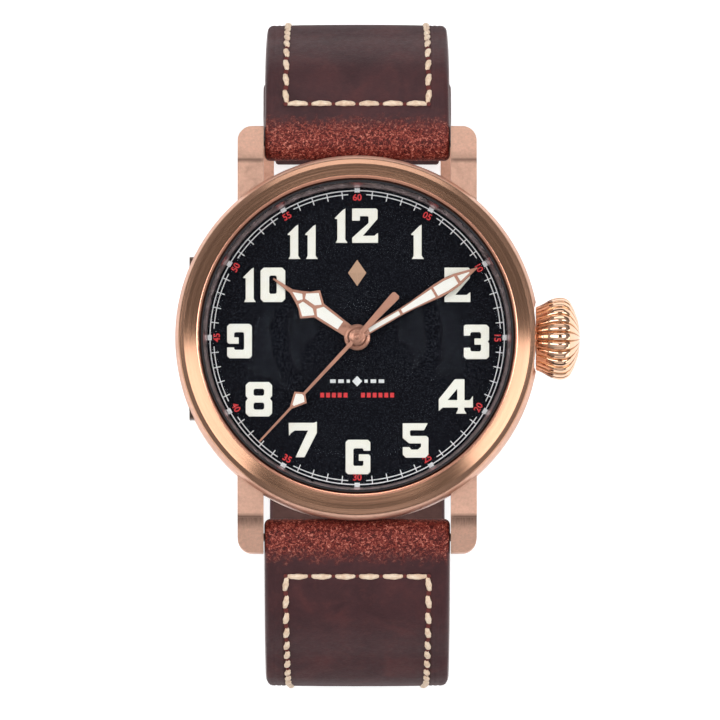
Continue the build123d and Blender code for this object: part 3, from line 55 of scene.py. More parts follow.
class Net:
    """A node tree with short calls for its nodes."""

    def __init__(self, tree):
        self.tree = tree

    def node(self, kind, **settings):
        made = self.tree.nodes.new(kind)
        for key, value in settings.items():
            setattr(made, key, value)
        return made

    def feed(self, socket, value):
        """Sets a socket to a number or a colour, or links it to another node's output."""
        if isinstance(value, (int, float)):
            socket.default_value = value
        elif isinstance(value, tuple):
            socket.default_value = (*value, 1)
        else:
            self.tree.links.new(value, socket)

    def fill(self, node, values):
        for name, value in values.items():
            self.feed(node.inputs[name], value)

    def math(self, operation, a, b=0.0):
        made = self.node("ShaderNodeMath", operation=operation)
        self.fill(made, {0: a, 1: b})
        return made.outputs[0]

    def times(self, a, b):
        return self.math("MULTIPLY", a, b)

    def plus(self, a, b):
        return self.math("ADD", a, b)

    def split(self, vector):
        """The three components of a vector."""
        made = self.node("ShaderNodeSeparateXYZ")
        self.fill(made, {0: vector})
        return made.outputs

    def span(self, value, low, high, to_low=0.0, to_high=1.0):
        """Maps the stretch from low to high onto another one, and holds it at both ends."""
        made = self.node("ShaderNodeMapRange", clamp=True)
        self.fill(made, {0: value, 1: low, 2: high, 3: to_low, 4: to_high})
        return made.outputs[0]

    def fade(self, value, low, high):
        return self.span(value, low, high, 1.0, 0.0)

    def band(self, value, start, full, fading, end):
        """One between full and fading, and nothing before start and past end."""
        return self.times(self.span(value, start, full), self.fade(value, fading, end))

    def spread(self, noise, to_low=0.0, to_high=1.0):
        """Spreads the middle values of a noise over a stretch."""
        return self.span(noise, *NOISE_MIDDLE, to_low, to_high)


class Shade(Net):
    """A principled material, with its place on the object in millimetres."""

    def __init__(self, name, base, rough, metal=0.0, spec=0.5, coat=0.0):
        self.mat = bpy.data.materials.new(name)
        self.mat.use_nodes = True
        super().__init__(self.mat.node_tree)
        self.bsdf = self.tree.nodes["Principled BSDF"]
        self.fill(self.bsdf, {"Base Color": base, "Roughness": rough, "Metallic": metal})
        self.fill(self.bsdf, {"Specular IOR Level": spec, "Coat Weight": coat, "Coat Roughness": COAT_ROUGH})
        scaled = self.node("ShaderNodeVectorMath", operation="SCALE")
        self.fill(scaled, {0: self.node("ShaderNodeTexCoord").outputs["Object"], "Scale": 1 / MM})
        self.place = scaled.outputs[0]

    def vector(self, x, y, z):
        made = self.node("ShaderNodeCombineXYZ")
        self.fill(made, {"X": x, "Y": y, "Z": z})
        return made.outputs[0]

    def stretched(self, *factors):
        """The place with each axis multiplied, so that a noise on it turns into streaks."""
        made = self.node("ShaderNodeVectorMath", operation="MULTIPLY")
        self.fill(made, {0: self.place})
        made.inputs[1].default_value = factors
        return made.outputs[0]

    def noise(self, scale, detail=3.0, rough=0.5, vector=None, distort=0.0):
        made = self.node("ShaderNodeTexNoise")
        self.fill(made, {"Vector": vector or self.place, "Scale": scale})
        self.fill(made, {"Detail": detail, "Roughness": rough, "Distortion": distort})
        return made.outputs["Fac"]

    def cells(self, scale):
        made = self.node("ShaderNodeTexVoronoi")
        self.fill(made, {"Vector": self.place, "Scale": scale})
        return made.outputs["Distance"]

    def ramp(self, value, stops):
        """Maps a value onto colours, given as pairs of a position and a colour."""
        made = self.node("ShaderNodeValToRGB")
        self.feed(made.inputs[0], value)
        points = made.color_ramp.elements
        while len(points) < len(stops):
            points.new(1.0)
        for point, (at, color) in zip(points, stops):
            point.position = at
            point.color = (*color, 1)
        return made.outputs[0]

    def mix(self, factor, a, b):
        made = self.node("ShaderNodeMix", data_type="RGBA")
        self.fill(made, {0: factor, 6: a, 7: b})
        return made.outputs[2]

    def color(self, value):
        self.feed(self.bsdf.inputs["Base Color"], value)

    def rough(self, value):
        self.feed(self.bsdf.inputs["Roughness"], value)

    def bump(self, height, strength, distance):
        made = self.node("ShaderNodeBump")
        self.fill(made, {"Strength": strength, "Distance": distance * MM, "Height": height})
        self.fill(self.bsdf, {"Normal": made.outputs[0]})


def tinted(color, factor):
    """A darker or lighter version of a colour."""
    return tuple(min(c * factor, 1) for c in color)


def around(shade, fine, drift):
    """Coordinates that run round the Z axis, for lines turned on a lathe."""
    x, y, z = shade.split(shade.place)
    radius = shade.math("SQRT", shade.plus(shade.times(x, x), shade.times(y, y)))
    angle = shade.math("ARCTAN2", y, x)
    return shade.vector(shade.times(radius, fine), shade.times(angle, drift), shade.times(z, fine))


# The lugs: where they bend down (Y), where they begin (X), their lowest level, and how far a face has
# to look up to count as their top. A pair is where a soft mask begins and where it is full.
LUG_CREASE = 22.1
LUG_INSIDE = (11.0, 12.0)
LUG_LEVELS = (3.0, 4.0)
FACES_UP = (0.5, 0.75)


def bronze_satin(name, base):
    """Satin bronze with a fine grain. On the lugs a painted shadow darkens the crease, painted dark streaks
    lie below it on the lower lugs, and a painted highlight brightens the tips.
    """
    s = Shade(name, base, rough=0.4, metal=1.0)
    x, y, z = s.split(s.place)
    cloud = s.noise(0.22, detail=4, rough=0.6)
    plain = s.mix(s.spread(cloud), tinted(base, 0.88), tinted(base, 1.08))
    past_crease = s.math("SUBTRACT", s.math("ABSOLUTE", y), LUG_CREASE)
    # Painted shadow: a dark line along the lugs' crease.
    line = s.band(past_crease, -0.45, -0.05, 0.05, 0.3)
    streaks = s.noise(1.0, rough=0.7, vector=s.stretched(5.0, 0.4, 1.0))
    # Painted shade: dark streaks just past the crease, on the lower lugs only.
    below = s.band(past_crease, 0.0, 0.2, 0.2, 1.7)
    lower_lugs = s.fade(y, -1, 0)
    below = s.times(below, s.times(lower_lugs, s.spread(streaks, 0.55, 1.0)))
    shadow = s.math("MAXIMUM", s.times(line, 0.85), below)
    normal = s.node("ShaderNodeTexCoord").outputs["Normal"]
    on_lug = s.times(s.span(s.math("ABSOLUTE", x), *LUG_INSIDE), s.span(z, *LUG_LEVELS))
    on_lug = s.times(on_lug, s.span(s.split(normal)[2], *FACES_UP))
    shadow = s.times(shadow, on_lug)
    # Painted highlight: the lugs' tips past the crease are coloured brighter.
    painted_tip_highlight = s.times(on_lug, s.span(past_crease, 0.4, 1.4))
    plain = s.mix(painted_tip_highlight, plain, tinted(base, 1.25))
    grain = s.noise(2.6, detail=4, rough=0.75)
    plain = s.mix(s.spread(grain, 0.34, 0.0), plain, tinted(base, 0.45))
    s.color(s.mix(shadow, plain, tinted(base, 0.28)))
    s.rough(s.spread(s.noise(1.2), 0.34, 0.47))
    s.bump(grain, 0.5, 0.03)
    return s.mat


def bronze_brushed(name, base):
    s = Shade(name, base, rough=0.33, metal=1.0)
    lines = s.noise(1.0, detail=4, rough=0.7, vector=around(s, fine=3.6, drift=0.5))
    wide = s.noise(1.0, detail=2, vector=around(s, fine=1.2, drift=1.4))
    plain = s.mix(s.spread(wide), tinted(base, 0.9), tinted(base, 1.06))
    s.color(s.mix(s.span(lines, 0.35, 0.6, 0.3, 0.0), plain, tinted(base, 0.5)))
    s.rough(s.spread(lines, 0.18, 0.27))
    s.bump(lines, 0.3, 0.02)
    return s.mat


def metal_polished(name, base, rough):
    s = Shade(name, base, rough=rough, metal=1.0)
    s.rough(s.spread(s.noise(0.8, detail=4, rough=0.6), rough * 0.7, rough * 1.5))
    s.bump(s.noise(1.6, detail=2), 0.04, 0.02)
    return s.mat


def steel_brushed(name, base):
    rough = 0.32
    s = Shade(name, base, rough=rough, metal=1.0)
    lines = s.noise(1.0, rough=0.6, vector=s.stretched(6.0, 0.3, 6.0))
    s.rough(s.spread(lines, rough * 0.75, rough * 1.25))
    s.bump(lines, 0.25, 0.02)
    return s.mat


def nickel_striped(name):
    s = Shade(name, (0.72, 0.72, 0.7), rough=0.3, metal=1.0)
    x = s.split(s.place)[0]
    wave = s.math("SINE", s.times(x, 3.2))
    s.color(s.mix(s.span(wave, -1, 1), (0.66, 0.66, 0.64), (0.78, 0.78, 0.76)))
    s.rough(s.span(wave, -1, 1, 0.24, 0.36))
    s.bump(s.noise(6.0), 0.12, 0.02)
    return s.mat


def plain_grained(name, base, rough, scale, **more):
    spread = 0.12
    s = Shade(name, base, rough=rough, **more)
    cloud = s.noise(scale, detail=4, rough=0.6)
    s.color(s.mix(s.spread(cloud), tinted(base, 1 - spread), tinted(base, 1 + spread)))
    s.rough(s.spread(cloud, rough * 0.85, min(rough * 1.15, 1)))
    s.bump(s.noise(scale * 3, rough=0.6), 0.2, 0.02)
    return s.mat


def dial_lacquer():
    s = Shade("dial_lacquer", (0.008, 0.009, 0.014), rough=0.5, spec=0.03)
    grain = s.noise(4.5, rough=0.75)
    broad = s.noise(0.16)
    speck = s.ramp(grain, [
        (0.0, (0.001, 0.001, 0.002)), (0.44, (0.003, 0.003, 0.005)),
        (0.54, (0.008, 0.009, 0.013)), (0.68, (0.026, 0.028, 0.036)),
    ])
    s.color(s.mix(s.spread(broad, 0.0, 0.35), speck, (0.005, 0.006, 0.01)))
    s.rough(s.spread(grain, 0.42, 0.62))
    s.bump(grain, 0.3, 0.02)
    return s.mat


def lume_paint(name, base, shadow):
    s = Shade(name, base, rough=0.62, spec=0.3)
    cloud = s.noise(0.9, detail=4, rough=0.55)
    s.color(s.mix(s.span(cloud, 0.25, 0.75), shadow, base))
    s.bump(s.noise(9.0, rough=0.6), 0.18, 0.02)
    return s.mat


# The raw fold at the strap's root ends between these distances from the middle and lies above these
# levels. Between the last two distances, at the horizon, the leather grows rougher.
ROOT_ENDS = (25.6, 27.8)
ROOT_LEVELS = (-12.0, -8.0)
HORIZON = (35.0, 39.5)


def strap_leather():
    """Oxblood leather: cloudy, with veins and a fine grain, and a raw, fibrous fold at the root whose
    brightest specks are partly painted highlights.
    """
    s = Shade("oxblood_leather", (0.07, 0.035, 0.037), rough=0.45, spec=0.22)
    _, y, z = s.split(s.place)
    reach = s.math("ABSOLUTE", y)
    ragged = s.span(s.noise(1.3), 0.2, 0.8, -0.9, 0.9)
    root = s.times(s.fade(s.plus(reach, ragged), *ROOT_ENDS), s.span(z, *ROOT_LEVELS))
    pull = s.noise(0.16, detail=5, rough=0.6, distort=0.8)
    vein = s.noise(0.9, detail=5, rough=0.65, distort=0.4)
    hair = s.noise(3.2, detail=5, rough=0.75, vector=s.stretched(0.55, 1, 1), distort=0.9)
    fibre = s.noise(3.0, detail=6, rough=0.8, distort=0.8)
    creases = s.noise(1.5, detail=6, rough=0.65, distort=0.5)
    fine = s.noise(6.0, detail=4, rough=0.7)
    body = s.ramp(pull, [
        (0.22, (0.04, 0.015, 0.018)), (0.5, (0.064, 0.024, 0.027)),
        (0.72, (0.095, 0.03, 0.031)), (0.9, (0.13, 0.038, 0.036)),
    ])
    body = s.mix(s.span(vein, 0.5, 0.78, 0.0, 0.4), body, (0.12, 0.036, 0.034))
    body = s.mix(s.span(hair, 0.35, 0.7, 0.0, 0.35), body, (0.03, 0.01, 0.012))
    # The raw root's fibres. The brightest pink stops are partly fibre colour and partly painted highlights
    # standing in for small glints.
    raw = s.ramp(fibre, [
        (0.4, (0.03, 0.004, 0.004)), (0.47, (0.1, 0.012, 0.01)), (0.52, (0.22, 0.03, 0.022)),
        (0.57, (0.42, 0.09, 0.06)), (0.64, (0.8, 0.36, 0.27)),
    ])
    s.color(s.mix(root, body, raw))
    smooth = s.plus(s.times(creases, 0.3), s.times(hair, 0.35))
    smooth = s.plus(s.times(s.cells(3.2), 0.25), smooth)
    rugged = s.times(s.plus(fibre, fine), 1.2)
    smooth_rough = s.plus(s.spread(creases, 0.36, 0.52), s.span(reach, *HORIZON, 0.0, 0.35))
    s.rough(s.mix(root, smooth_rough, s.spread(fibre, 0.42, 0.66)))
    s.bump(s.mix(root, smooth, rugged), 0.6, 0.09)
    return s.mat


def strap_edge():
    s = Shade("painted_strap_edge", (0.09, 0.045, 0.045), rough=0.4, spec=0.4)
    layer = s.noise(3.0, detail=4, rough=0.6)
    s.color(s.ramp(layer, [(0.3, (0.06, 0.028, 0.03)), (0.7, (0.13, 0.065, 0.062))]))
    s.bump(layer, 0.25, 0.05)
    return s.mat


def lining_leather():
    s = Shade("lining_leather", (0.085, 0.036, 0.03), rough=0.6, spec=0.3)
    cloud = s.noise(0.5, detail=5, rough=0.6)
    s.color(s.ramp(cloud, [(0.25, (0.06, 0.024, 0.02)), (0.75, (0.115, 0.05, 0.042))]))
    s.bump(s.cells(2.6), 0.4, 0.06)
    return s.mat


def waxed_thread():
    cream = (0.84, 0.64, 0.47)
    s = Shade("waxed_thread", cream, rough=0.55, spec=0.4)
    cloud = s.noise(1.6, detail=4, rough=0.6)
    s.color(s.ramp(cloud, [(0.25, (0.66, 0.43, 0.29)), (0.5, cream), (0.75, (0.93, 0.8, 0.64))]))
    s.bump(s.noise(7.0, rough=0.6), 0.4, 0.05)
    return s.mat


def clear_crystal():
    """Coated sapphire: light goes straight through it, and a little is mirrored."""
    mat = bpy.data.materials.new("clear_crystal")
    mat.use_nodes = True
    net = Net(mat.node_tree)
    net.tree.nodes.clear()
    out = net.node("ShaderNodeOutputMaterial")
    mix = net.node("ShaderNodeMixShader")
    clear = net.node("ShaderNodeBsdfTransparent")
    gloss = net.node("ShaderNodeBsdfGlossy")
    rim = net.node("ShaderNodeFresnel")
    net.fill(rim, {"IOR": 1.08})
    net.fill(clear, {"Color": (0.985, 0.99, 0.99)})
    net.fill(gloss, {"Color": (0.85, 0.92, 1.0), "Roughness": 0.02})
    net.fill(mix, {0: rim.outputs[0], 1: clear.outputs[0], 2: gloss.outputs[0]})
    net.fill(out, {"Surface": mix.outputs[0]})
    return mat


# Most materials have the name of their slot. The others are for parts of a piece.
mats = {
    "case_bronze": bronze_satin("bronze_satin", (0.77, 0.465, 0.35)),
    "bezel_bronze": bronze_brushed("bronze_brushed", (0.76, 0.415, 0.265)),
    # The bezel's outer side is a darker copy of the brushed bronze: painted shade.
    "ledge": bronze_brushed("bronze_ledge_painted_shade", (0.54, 0.3, 0.2)),
    "edge": metal_polished("bronze_polished", (0.94, 0.45, 0.31), 0.14),
    "crown_bronze": metal_polished("rose_gold_polished", (0.9, 0.57, 0.39), 0.06),
    # The crown's grooves are a darker copy of its rose gold: painted shade in the recesses.
    "shaded_crown_groove": metal_polished("rose_gold_painted_groove_shade", (0.52, 0.25, 0.12), 0.25),
    "hand_bronze": metal_polished("hand_rose_gold", (0.45, 0.23, 0.165), 0.38),
    "rehaut": metal_polished("rehaut_polished", (0.74, 0.55, 0.54), 0.32),
    "steel": steel_brushed("steel_brushed", (0.66, 0.66, 0.66)),
    "steel_polished": metal_polished("steel_polished", (0.78, 0.78, 0.78), 0.12),
    # The side plate is coloured near black: a painted dark reflection on its metal.
    "plate": metal_polished("plate_painted_dark", (0.12, 0.08, 0.065), 0.3),
    "black_plate": plain_grained("black_coating", (0.022, 0.022, 0.024), 0.36, 1.4, metal=0.6),
    "dial_black": dial_lacquer(),
    "lume": lume_paint("numeral_lume", (0.99, 0.975, 0.9), (0.95, 0.92, 0.8)),
    "hand_lume": lume_paint("hand_lume", (1.0, 0.98, 0.93), (0.96, 0.92, 0.84)),
    "print_white": plain_grained("print_white", (0.78, 0.79, 0.8), 0.5, 3.0),
    "print_red": plain_grained("print_red", (0.72, 0.02, 0.025), 0.5, 3.0),
    "sapphire": clear_crystal(),
    "seal": plain_grained("black_seal", (0.03, 0.03, 0.03), 0.7, 2.0),
    "seal_clear": plain_grained("dark_seal", (0.018, 0.016, 0.018), 0.55, 2.0, spec=0.2),
    "movement_brass": steel_brushed("movement_brass", (0.8, 0.62, 0.3)),
    "movement_nickel": nickel_striped("striped_nickel"),
    "ruby": plain_grained("ruby", (0.55, 0.02, 0.08), 0.12, 1.0, coat=0.6),
    "blued_spring": steel_brushed("blued_steel", (0.12, 0.16, 0.36)),
    "strap_leather": strap_leather(),
    "strap_edge": strap_edge(),
    "strap_lining": lining_leather(),
    "thread": waxed_thread(),
    "needle_hole": plain_grained("needle_hole", (0.13, 0.022, 0.018), 0.8, 4.0),
}
# Nodes that look a little different from the rest of their slot.
NODE_MATERIALS = {
    "hour_hand_lume": "hand_lume", "minute_hand_lume": "hand_lume", "second_hand_lume": "hand_lume",
    "rehaut_ring": "rehaut", "side_plate": "plate",
}
for row in frame["record"]["subparts"]:
    look = NODE_MATERIALS.get(row["node"], row["material_slot"])
    materials = nodes[row["node"]].data.materials
    materials.clear()
    materials.append(mats[look])

# Soft edges: a CAD node's sharp edges are rounded a little, as real edges are

SOFT_EDGES = {
    "mid_case": 0.16, "case_back": 0.12, "side_plate": 0.1, "side_plate_screws": 0.05,
    "hour_numerals": 0.07, "dial_marker": 0.02, "hour_hand": 0.05, "minute_hand": 0.045,
    "second_hand": 0.04, "hour_hand_lume": 0.03, "minute_hand_lume": 0.03, "second_hand_lume": 0.02,
    "buckle_frame": 0.35, "buckle_tongue": 0.25, "crown_tube": 0.05, "strap_spring_bars": 0.05,
    "buckle_spring_bar": 0.05,
}
SHARP_ANGLE = math.radians(32)
for name, width in SOFT_EDGES.items():
    weld = nodes[name].modifiers.new("weld", "WELD")
    weld.merge_threshold = 0.002 * MM
    bevel = nodes[name].modifiers.new("bevel", "BEVEL")
    bevel.width = width * MM
    bevel.segments = 3
    bevel.limit_method = "ANGLE"
    bevel.angle_limit = SHARP_ANGLE
    bevel.use_clamp_overlap = True
    bevel.harden_normals = True

# Mesh helpers

CORNER_STEPS, LATHE_STEPS = 4, 256
# A rounded corner takes at most this share of an edge, and a turned piece closes at this radius.
CORNER_SHARE = 0.48
AXIS = 0.01


class Shell:
    """A mesh in the making: points in millimetres, faces, and a material index for each face."""

    def __init__(self):
        self.verts = []
        self.faces = []
        self.slots = []

    def face(self, corners, slot=0):
        self.faces.append(tuple(corners))
        self.slots.append(slot)


def add_object(name, data):
    obj = bpy.data.objects.new(name, data)
    bpy.context.scene.collection.objects.link(obj)
    return obj


def piece(name, shell, body, looks, smooth=True, replaced=()):
    """Makes a shell into an object that rides on a body and stands for the replaced nodes."""
    mesh = bpy.data.meshes.new(name)
    mesh.from_pydata([tuple(c * MM for c in v) for v in shell.verts], [], shell.faces)
    mesh.validate()
    mesh.polygons.foreach_set("use_smooth", [smooth] * len(mesh.polygons))
    for look in looks:
        mesh.materials.append(mats[look])
    mesh.polygons.foreach_set("material_index", shell.slots)
    obj = add_object(name, mesh)
    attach(obj, body)
    if replaced:
        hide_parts(*replaced)
    return obj


def face_outward(obj, merge=0.0):
    """Merges points closer than this, and turns the faces of a closed mesh outward."""
    clean = bmesh.new()
    clean.from_mesh(obj.data)
    if merge:
        bmesh.ops.remove_doubles(clean, verts=clean.verts, dist=merge * MM)
    bmesh.ops.recalc_face_normals(clean, faces=clean.faces)
    clean.to_mesh(obj.data)
    clean.free()


def rounded_corners(points, radii):
    """A closed outline with round corners, as x, y and the index of the point it comes from."""
    out = []
    count = len(points)
    for i, (point, radius) in enumerate(zip(points, radii)):
        if radius <= 0:
            out.append((*point, i))
            continue
        here = Vector(point)
        before = Vector(points[i - 1]) - here
        after = Vector(points[(i + 1) % count]) - here
        most = CORNER_SHARE * min(before.length, after.length)
        reach = min(radius / math.tan(before.angle(after) / 2), most)
        a = here + before.normalized() * reach
        b = here + after.normalized() * reach
        for k in range(CORNER_STEPS + 1):
            t = k / CORNER_STEPS
            p = a * (1 - t) ** 2 + here * 2 * t * (1 - t) + b * t**2
            out.append((p.x, p.y, i))
    return out


def lathe(name, outline, body, looks, segments=LATHE_STEPS, replaced=()):
    """Turns a closed outline about Z: rows of radius, level, corner radius and the next edge's look."""
    loop = rounded_corners([row[:2] for row in outline], [row[2] for row in outline])
    rows = len(loop)
    shell = Shell()
    for s in range(segments):
        angle = 2 * math.pi * s / segments
        c, n = math.cos(angle), math.sin(angle)
        shell.verts.extend((r * c, r * n, z) for r, z, _ in loop)
    for s in range(segments):
        a, b = s * rows, (s + 1) % segments * rows
        for k in range(rows):
            m = (k + 1) % rows
            look = outline[loop[k][2]][3]
            shell.face((b + k, b + m, a + m, a + k), looks.index(look))
    piece(name, shell, body, looks, replaced=replaced)


def plain_rows(points, corner, look):
    """Outline rows that share one corner radius and one look."""
    return [(radius, level, corner, look) for radius, level in points]


def prism(shell, outline, low, high, slot=0):
    """Adds a straight-sided slab with this outline."""
    start = len(shell.verts)
    count = len(outline)
    shell.verts.extend((x, y, low) for x, y in outline)
    shell.verts.extend((x, y, high) for x, y in outline)
    for k in range(count):
        m = (k + 1) % count
        shell.face((start + k, start + m, start + count + m, start + count + k), slot)
    shell.face([start + count + k for k in range(count)], slot)
    shell.face([start + k for k in reversed(range(count))], slot)


SQUARE = ((-1, -1), (1, -1), (1, 1), (-1, 1))


def polar(radius, degrees):
    """A point at an angle clockwise from twelve o'clock."""
    a = math.radians(degrees)
    return radius * math.sin(a), radius * math.cos(a)


# Bezel, rehaut and crystal

BEZEL_BOTTOM, BEZEL_TOP = 10.3, 12.8
BEZEL_OUT, BEZEL_IN = 22.1, 19.3
BEZEL_SEAT, SEAT_LEVEL = 20.63, 11.13
lathe(
    "bezel_turned",
    [
        (BEZEL_SEAT, BEZEL_BOTTOM, 0.0, "bezel_bronze"),
        (BEZEL_OUT, BEZEL_BOTTOM, 0.04, "ledge"),
        (BEZEL_OUT, 10.93, 0.12, "ledge"),
        (21.95, 11.08, 0.1, "ledge"),
        (21.42, 11.36, 0.12, "bezel_bronze"),
        (19.82, BEZEL_TOP, 0.1, "edge"),
        (BEZEL_IN, 12.5, 0.08, "edge"),
        (BEZEL_IN, SEAT_LEVEL, 0.0, "bezel_bronze"),
        (BEZEL_SEAT, SEAT_LEVEL, 0.0, "bezel_bronze"),
    ],
    "case", ["bezel_bronze", "edge", "ledge"], replaced=["bezel"],
)

DIAL = 8.5
REHAUT_OUT, REHAUT_TOP = 19.2, 11.2
lathe(
    "rehaut_turned",
    [
        (18.52, DIAL, 0.0, "rehaut"),
        (REHAUT_OUT, DIAL, 0.0, "rehaut"),
        (REHAUT_OUT, REHAUT_TOP, 0.02, "rehaut"),
        (19.12, REHAUT_TOP, 0.02, "rehaut"),
        (18.62, 8.9, 0.1, "rehaut"),
    ],
    "case", ["rehaut"], replaced=["rehaut_ring"],
)

CRYSTAL_OUT, CRYSTAL_BOTTOM = 19.05, 11.25
DOME_OUT, DOME_FOOT, DOME_RISE, DOME_STEPS = 18.85, 13.0, 0.35, 10


def crystal_piece():
    """The crystal, with a low dome and a chamfer round it."""
    outline = [(CRYSTAL_OUT, CRYSTAL_BOTTOM), (CRYSTAL_OUT, BEZEL_TOP), (DOME_OUT, DOME_FOOT)]
    for k in range(1, DOME_STEPS):
        share = 1 - k / DOME_STEPS
        outline.append((DOME_OUT * share, DOME_FOOT + DOME_RISE * (1 - share**2)))
    outline += [(AXIS, DOME_FOOT + DOME_RISE), (AXIS, CRYSTAL_BOTTOM)]
    rows = plain_rows(outline, 0.0, "sapphire")
    lathe("crystal_domed", rows, "case", ["sapphire"], 192, replaced=["crystal"])


crystal_piece()

# Crown

# Half of the crown's outline, measured in the photo: distance from the watch's middle, and radius.
CROWN_OUTLINE = [
    (22.1, 3.9), (22.65, 4.14), (23.15, 4.38), (23.64, 4.68), (24.14, 4.92), (24.63, 5.06), (25.1, 5.11),
    (25.62, 5.05), (26.11, 4.79), (26.36, 4.55), (26.6, 4.13), (26.85, 3.63), (27.1, 2.95), (27.35, 2.19),
    (27.53, 1.2), (27.59, 0.01),
]
CROWN_LEVEL = 6.1
CROWN_NECK = 1.9
RIBS, RIB_STEPS, OUTLINE_STEPS, BASE_STEPS = 26, 16, 4, 4
GROOVE, NECK_GROOVE = 0.42, 0.26
# The grooves deepen up to the shoulder, and past it they fade between two radii, RIM and BALD.
SHOULDER, RIM, BALD = 24.6, 4.2, 0.9


def smooth_between(four, t):
    """A value between the second and the third of four, on a smooth curve through them."""
    a, b, c, d = four
    square = 2 * a - 5 * b + 4 * c - d
    cube = 3 * b - a - 3 * c + d
    return (2 * b + (c - a) * t + square * t**2 + cube * t**3) / 2


def crown_stations():
    """Rings along the crown: distance from the watch's middle, radius and depth of the grooves."""
    base_x, base_r = CROWN_OUTLINE[0]
    flat = base_r - 0.12 - CROWN_NECK
    stations = [(base_x, CROWN_NECK + flat * k / (BASE_STEPS - 1), 0.0) for k in range(BASE_STEPS)]
    stations.append((base_x + 0.04, base_r - 0.04, NECK_GROOVE / 2))
    points = [CROWN_OUTLINE[0], *CROWN_OUTLINE, CROWN_OUTLINE[-1]]
    for four in zip(points, points[1:], points[2:], points[3:]):
        for k in range(1, OUTLINE_STEPS + 1):
            x, r = (smooth_between(values, k / OUTLINE_STEPS) for values in zip(*four))
            depth = NECK_GROOVE + (GROOVE - NECK_GROOVE) * min((x - base_x) / (SHOULDER - base_x), 1)
            if x > SHOULDER:
                depth *= min(max((r - BALD) / (RIM - BALD), 0), 1) ** 0.7
            stations.append((x, max(r, AXIS), depth))
    return stations


def crown_piece():
    """The onion crown: wide rounded ribs with narrow grooves that run together at the base."""
    stations = crown_stations()
    ring = RIBS * RIB_STEPS
    shell = Shell()
    for x, r, depth in stations:
        for s in range(ring):
            phase = s % RIB_STEPS / RIB_STEPS
            near_groove = 2 * min(phase, 1 - phase)
            lobe = (1 - (1 - near_groove) ** 3.2) ** 0.62
            radius = r - depth * (1 - lobe)
            a = 2 * math.pi * s / ring
            shell.verts.append((x, radius * math.cos(a), CROWN_LEVEL + radius * math.sin(a)))
    for k in range(len(stations) - 1):
        for s in range(ring):
            m = (s + 1) % ring
            a, b = k * ring, (k + 1) * ring
            from_groove = min(s % RIB_STEPS, RIB_STEPS - 1 - s % RIB_STEPS)
            # Faces deep in a groove take the darker groove material, which is painted shade.
            in_groove = k > BASE_STEPS and from_groove < 2
            shell.face((a + s, a + m, b + m, b + s), 1 if in_groove else 0)
    looks = ["crown_bronze", "shaded_crown_groove"]
    piece("crown_ribbed", shell, "crown", looks, replaced=["crown"])


crown_piece()

# Dial print

PRINT = DIAL + 0.02
WHITE, RED = 0, 1
ARC_STEP = 1.5
# The minute ring's radius, and its strokes: inner radius, outer radius and half width.
RING = 18.2
MINUTE_STROKE = (17.22, RING, 0.06)
FIVE_MINUTE_STROKE = (17.98, 18.5, 0.33)


def ring_arc(shell, radius, width, start, end):
    """A curved bar along part of a circle, from one angle to a larger one."""
    steps = max(int((end - start) / ARC_STEP), 2)
    angles = [start + (end - start) * k / steps for k in range(steps + 1)]
    outer = [polar(radius + width / 2, angle) for angle in angles]
    inner = [polar(radius - width / 2, angle) for angle in angles]
    prism(shell, inner + outer[::-1], DIAL, PRINT)


def dash(shell, x, y, half_x, half_y, slot=WHITE):
    prism(shell, [(x + a * half_x, y + b * half_y) for a, b in SQUARE], DIAL, PRINT, slot)


def ornament(shell):
    """A quiet printed ornament in place of lettering: a lozenge between dashes, over red dashes."""
    y, red_y = -5.4, -7.13
    for x in (-3.0, -2.0, 2.0, 3.0):
        dash(shell, x, y, 0.34, 0.22)
    prism(shell, [(0, y + 0.65), (-0.62, y), (0, y - 0.65), (0.62, y)], DIAL, PRINT)
    for x in (-1.1, 1.1):
        dash(shell, x, y, 0.2, 0.2)
    for place in (-6, -5, -4, -3, -2, 1, 2, 3, 4, 5, 6):
        dash(shell, place * 0.72, red_y, 0.24, 0.29, RED)


def minute_track():
    """The printed minute ring with its strokes, and the ornament."""
    shell = Shell()
    for start in range(0, 360, 30):
        ring_arc(shell, RING, 0.13, start, start + 30)
        ring_arc(shell, 17.74, 0.12, start + 3.6, start + 26.4)
    for minute in range(60):
        angle = minute * 6
        inner, outer, half = MINUTE_STROKE if minute % 5 else FIVE_MINUTE_STROKE
        aside = Vector(polar(half, angle + 90))
        near, far = Vector(polar(inner, angle)), Vector(polar(outer, angle))
        corners = [near - aside, near + aside, far + aside, far - aside]
        prism(shell, corners, DIAL, PRINT + 0.01)
    ornament(shell)
    piece("dial_print", shell, "case", ["print_white", "print_red"], smooth=False)


minute_track()


def minute_number(number, angle):
    """One small red number, turned with the ring and the right way up in its lower half."""
    curve = bpy.data.curves.new(f"minute_number_{number:02d}", "FONT")
    curve.body = f"{number:02d}"
    curve.size = 1.12 * MM
    curve.offset = 0.022 * MM
    curve.extrude = 0.008 * MM
    curve.align_x = "CENTER"
    curve.align_y = "CENTER"
    curve.materials.append(mats["print_red"])
    obj = add_object(curve.name, curve)
    x, y = polar(17.33, angle)
    turn = -math.radians(angle) + (math.pi if 90 < angle < 270 else 0)
    place = Matrix.Translation((x * MM, y * MM, (DIAL + 0.012) * MM))
    obj.matrix_world = place @ Matrix.Rotation(turn, 4, "Z")
    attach(obj, "case")


for part in range(12):
    minute_number(part * 5 or 60, part * 30)

# Turned collars on the hands' hubs

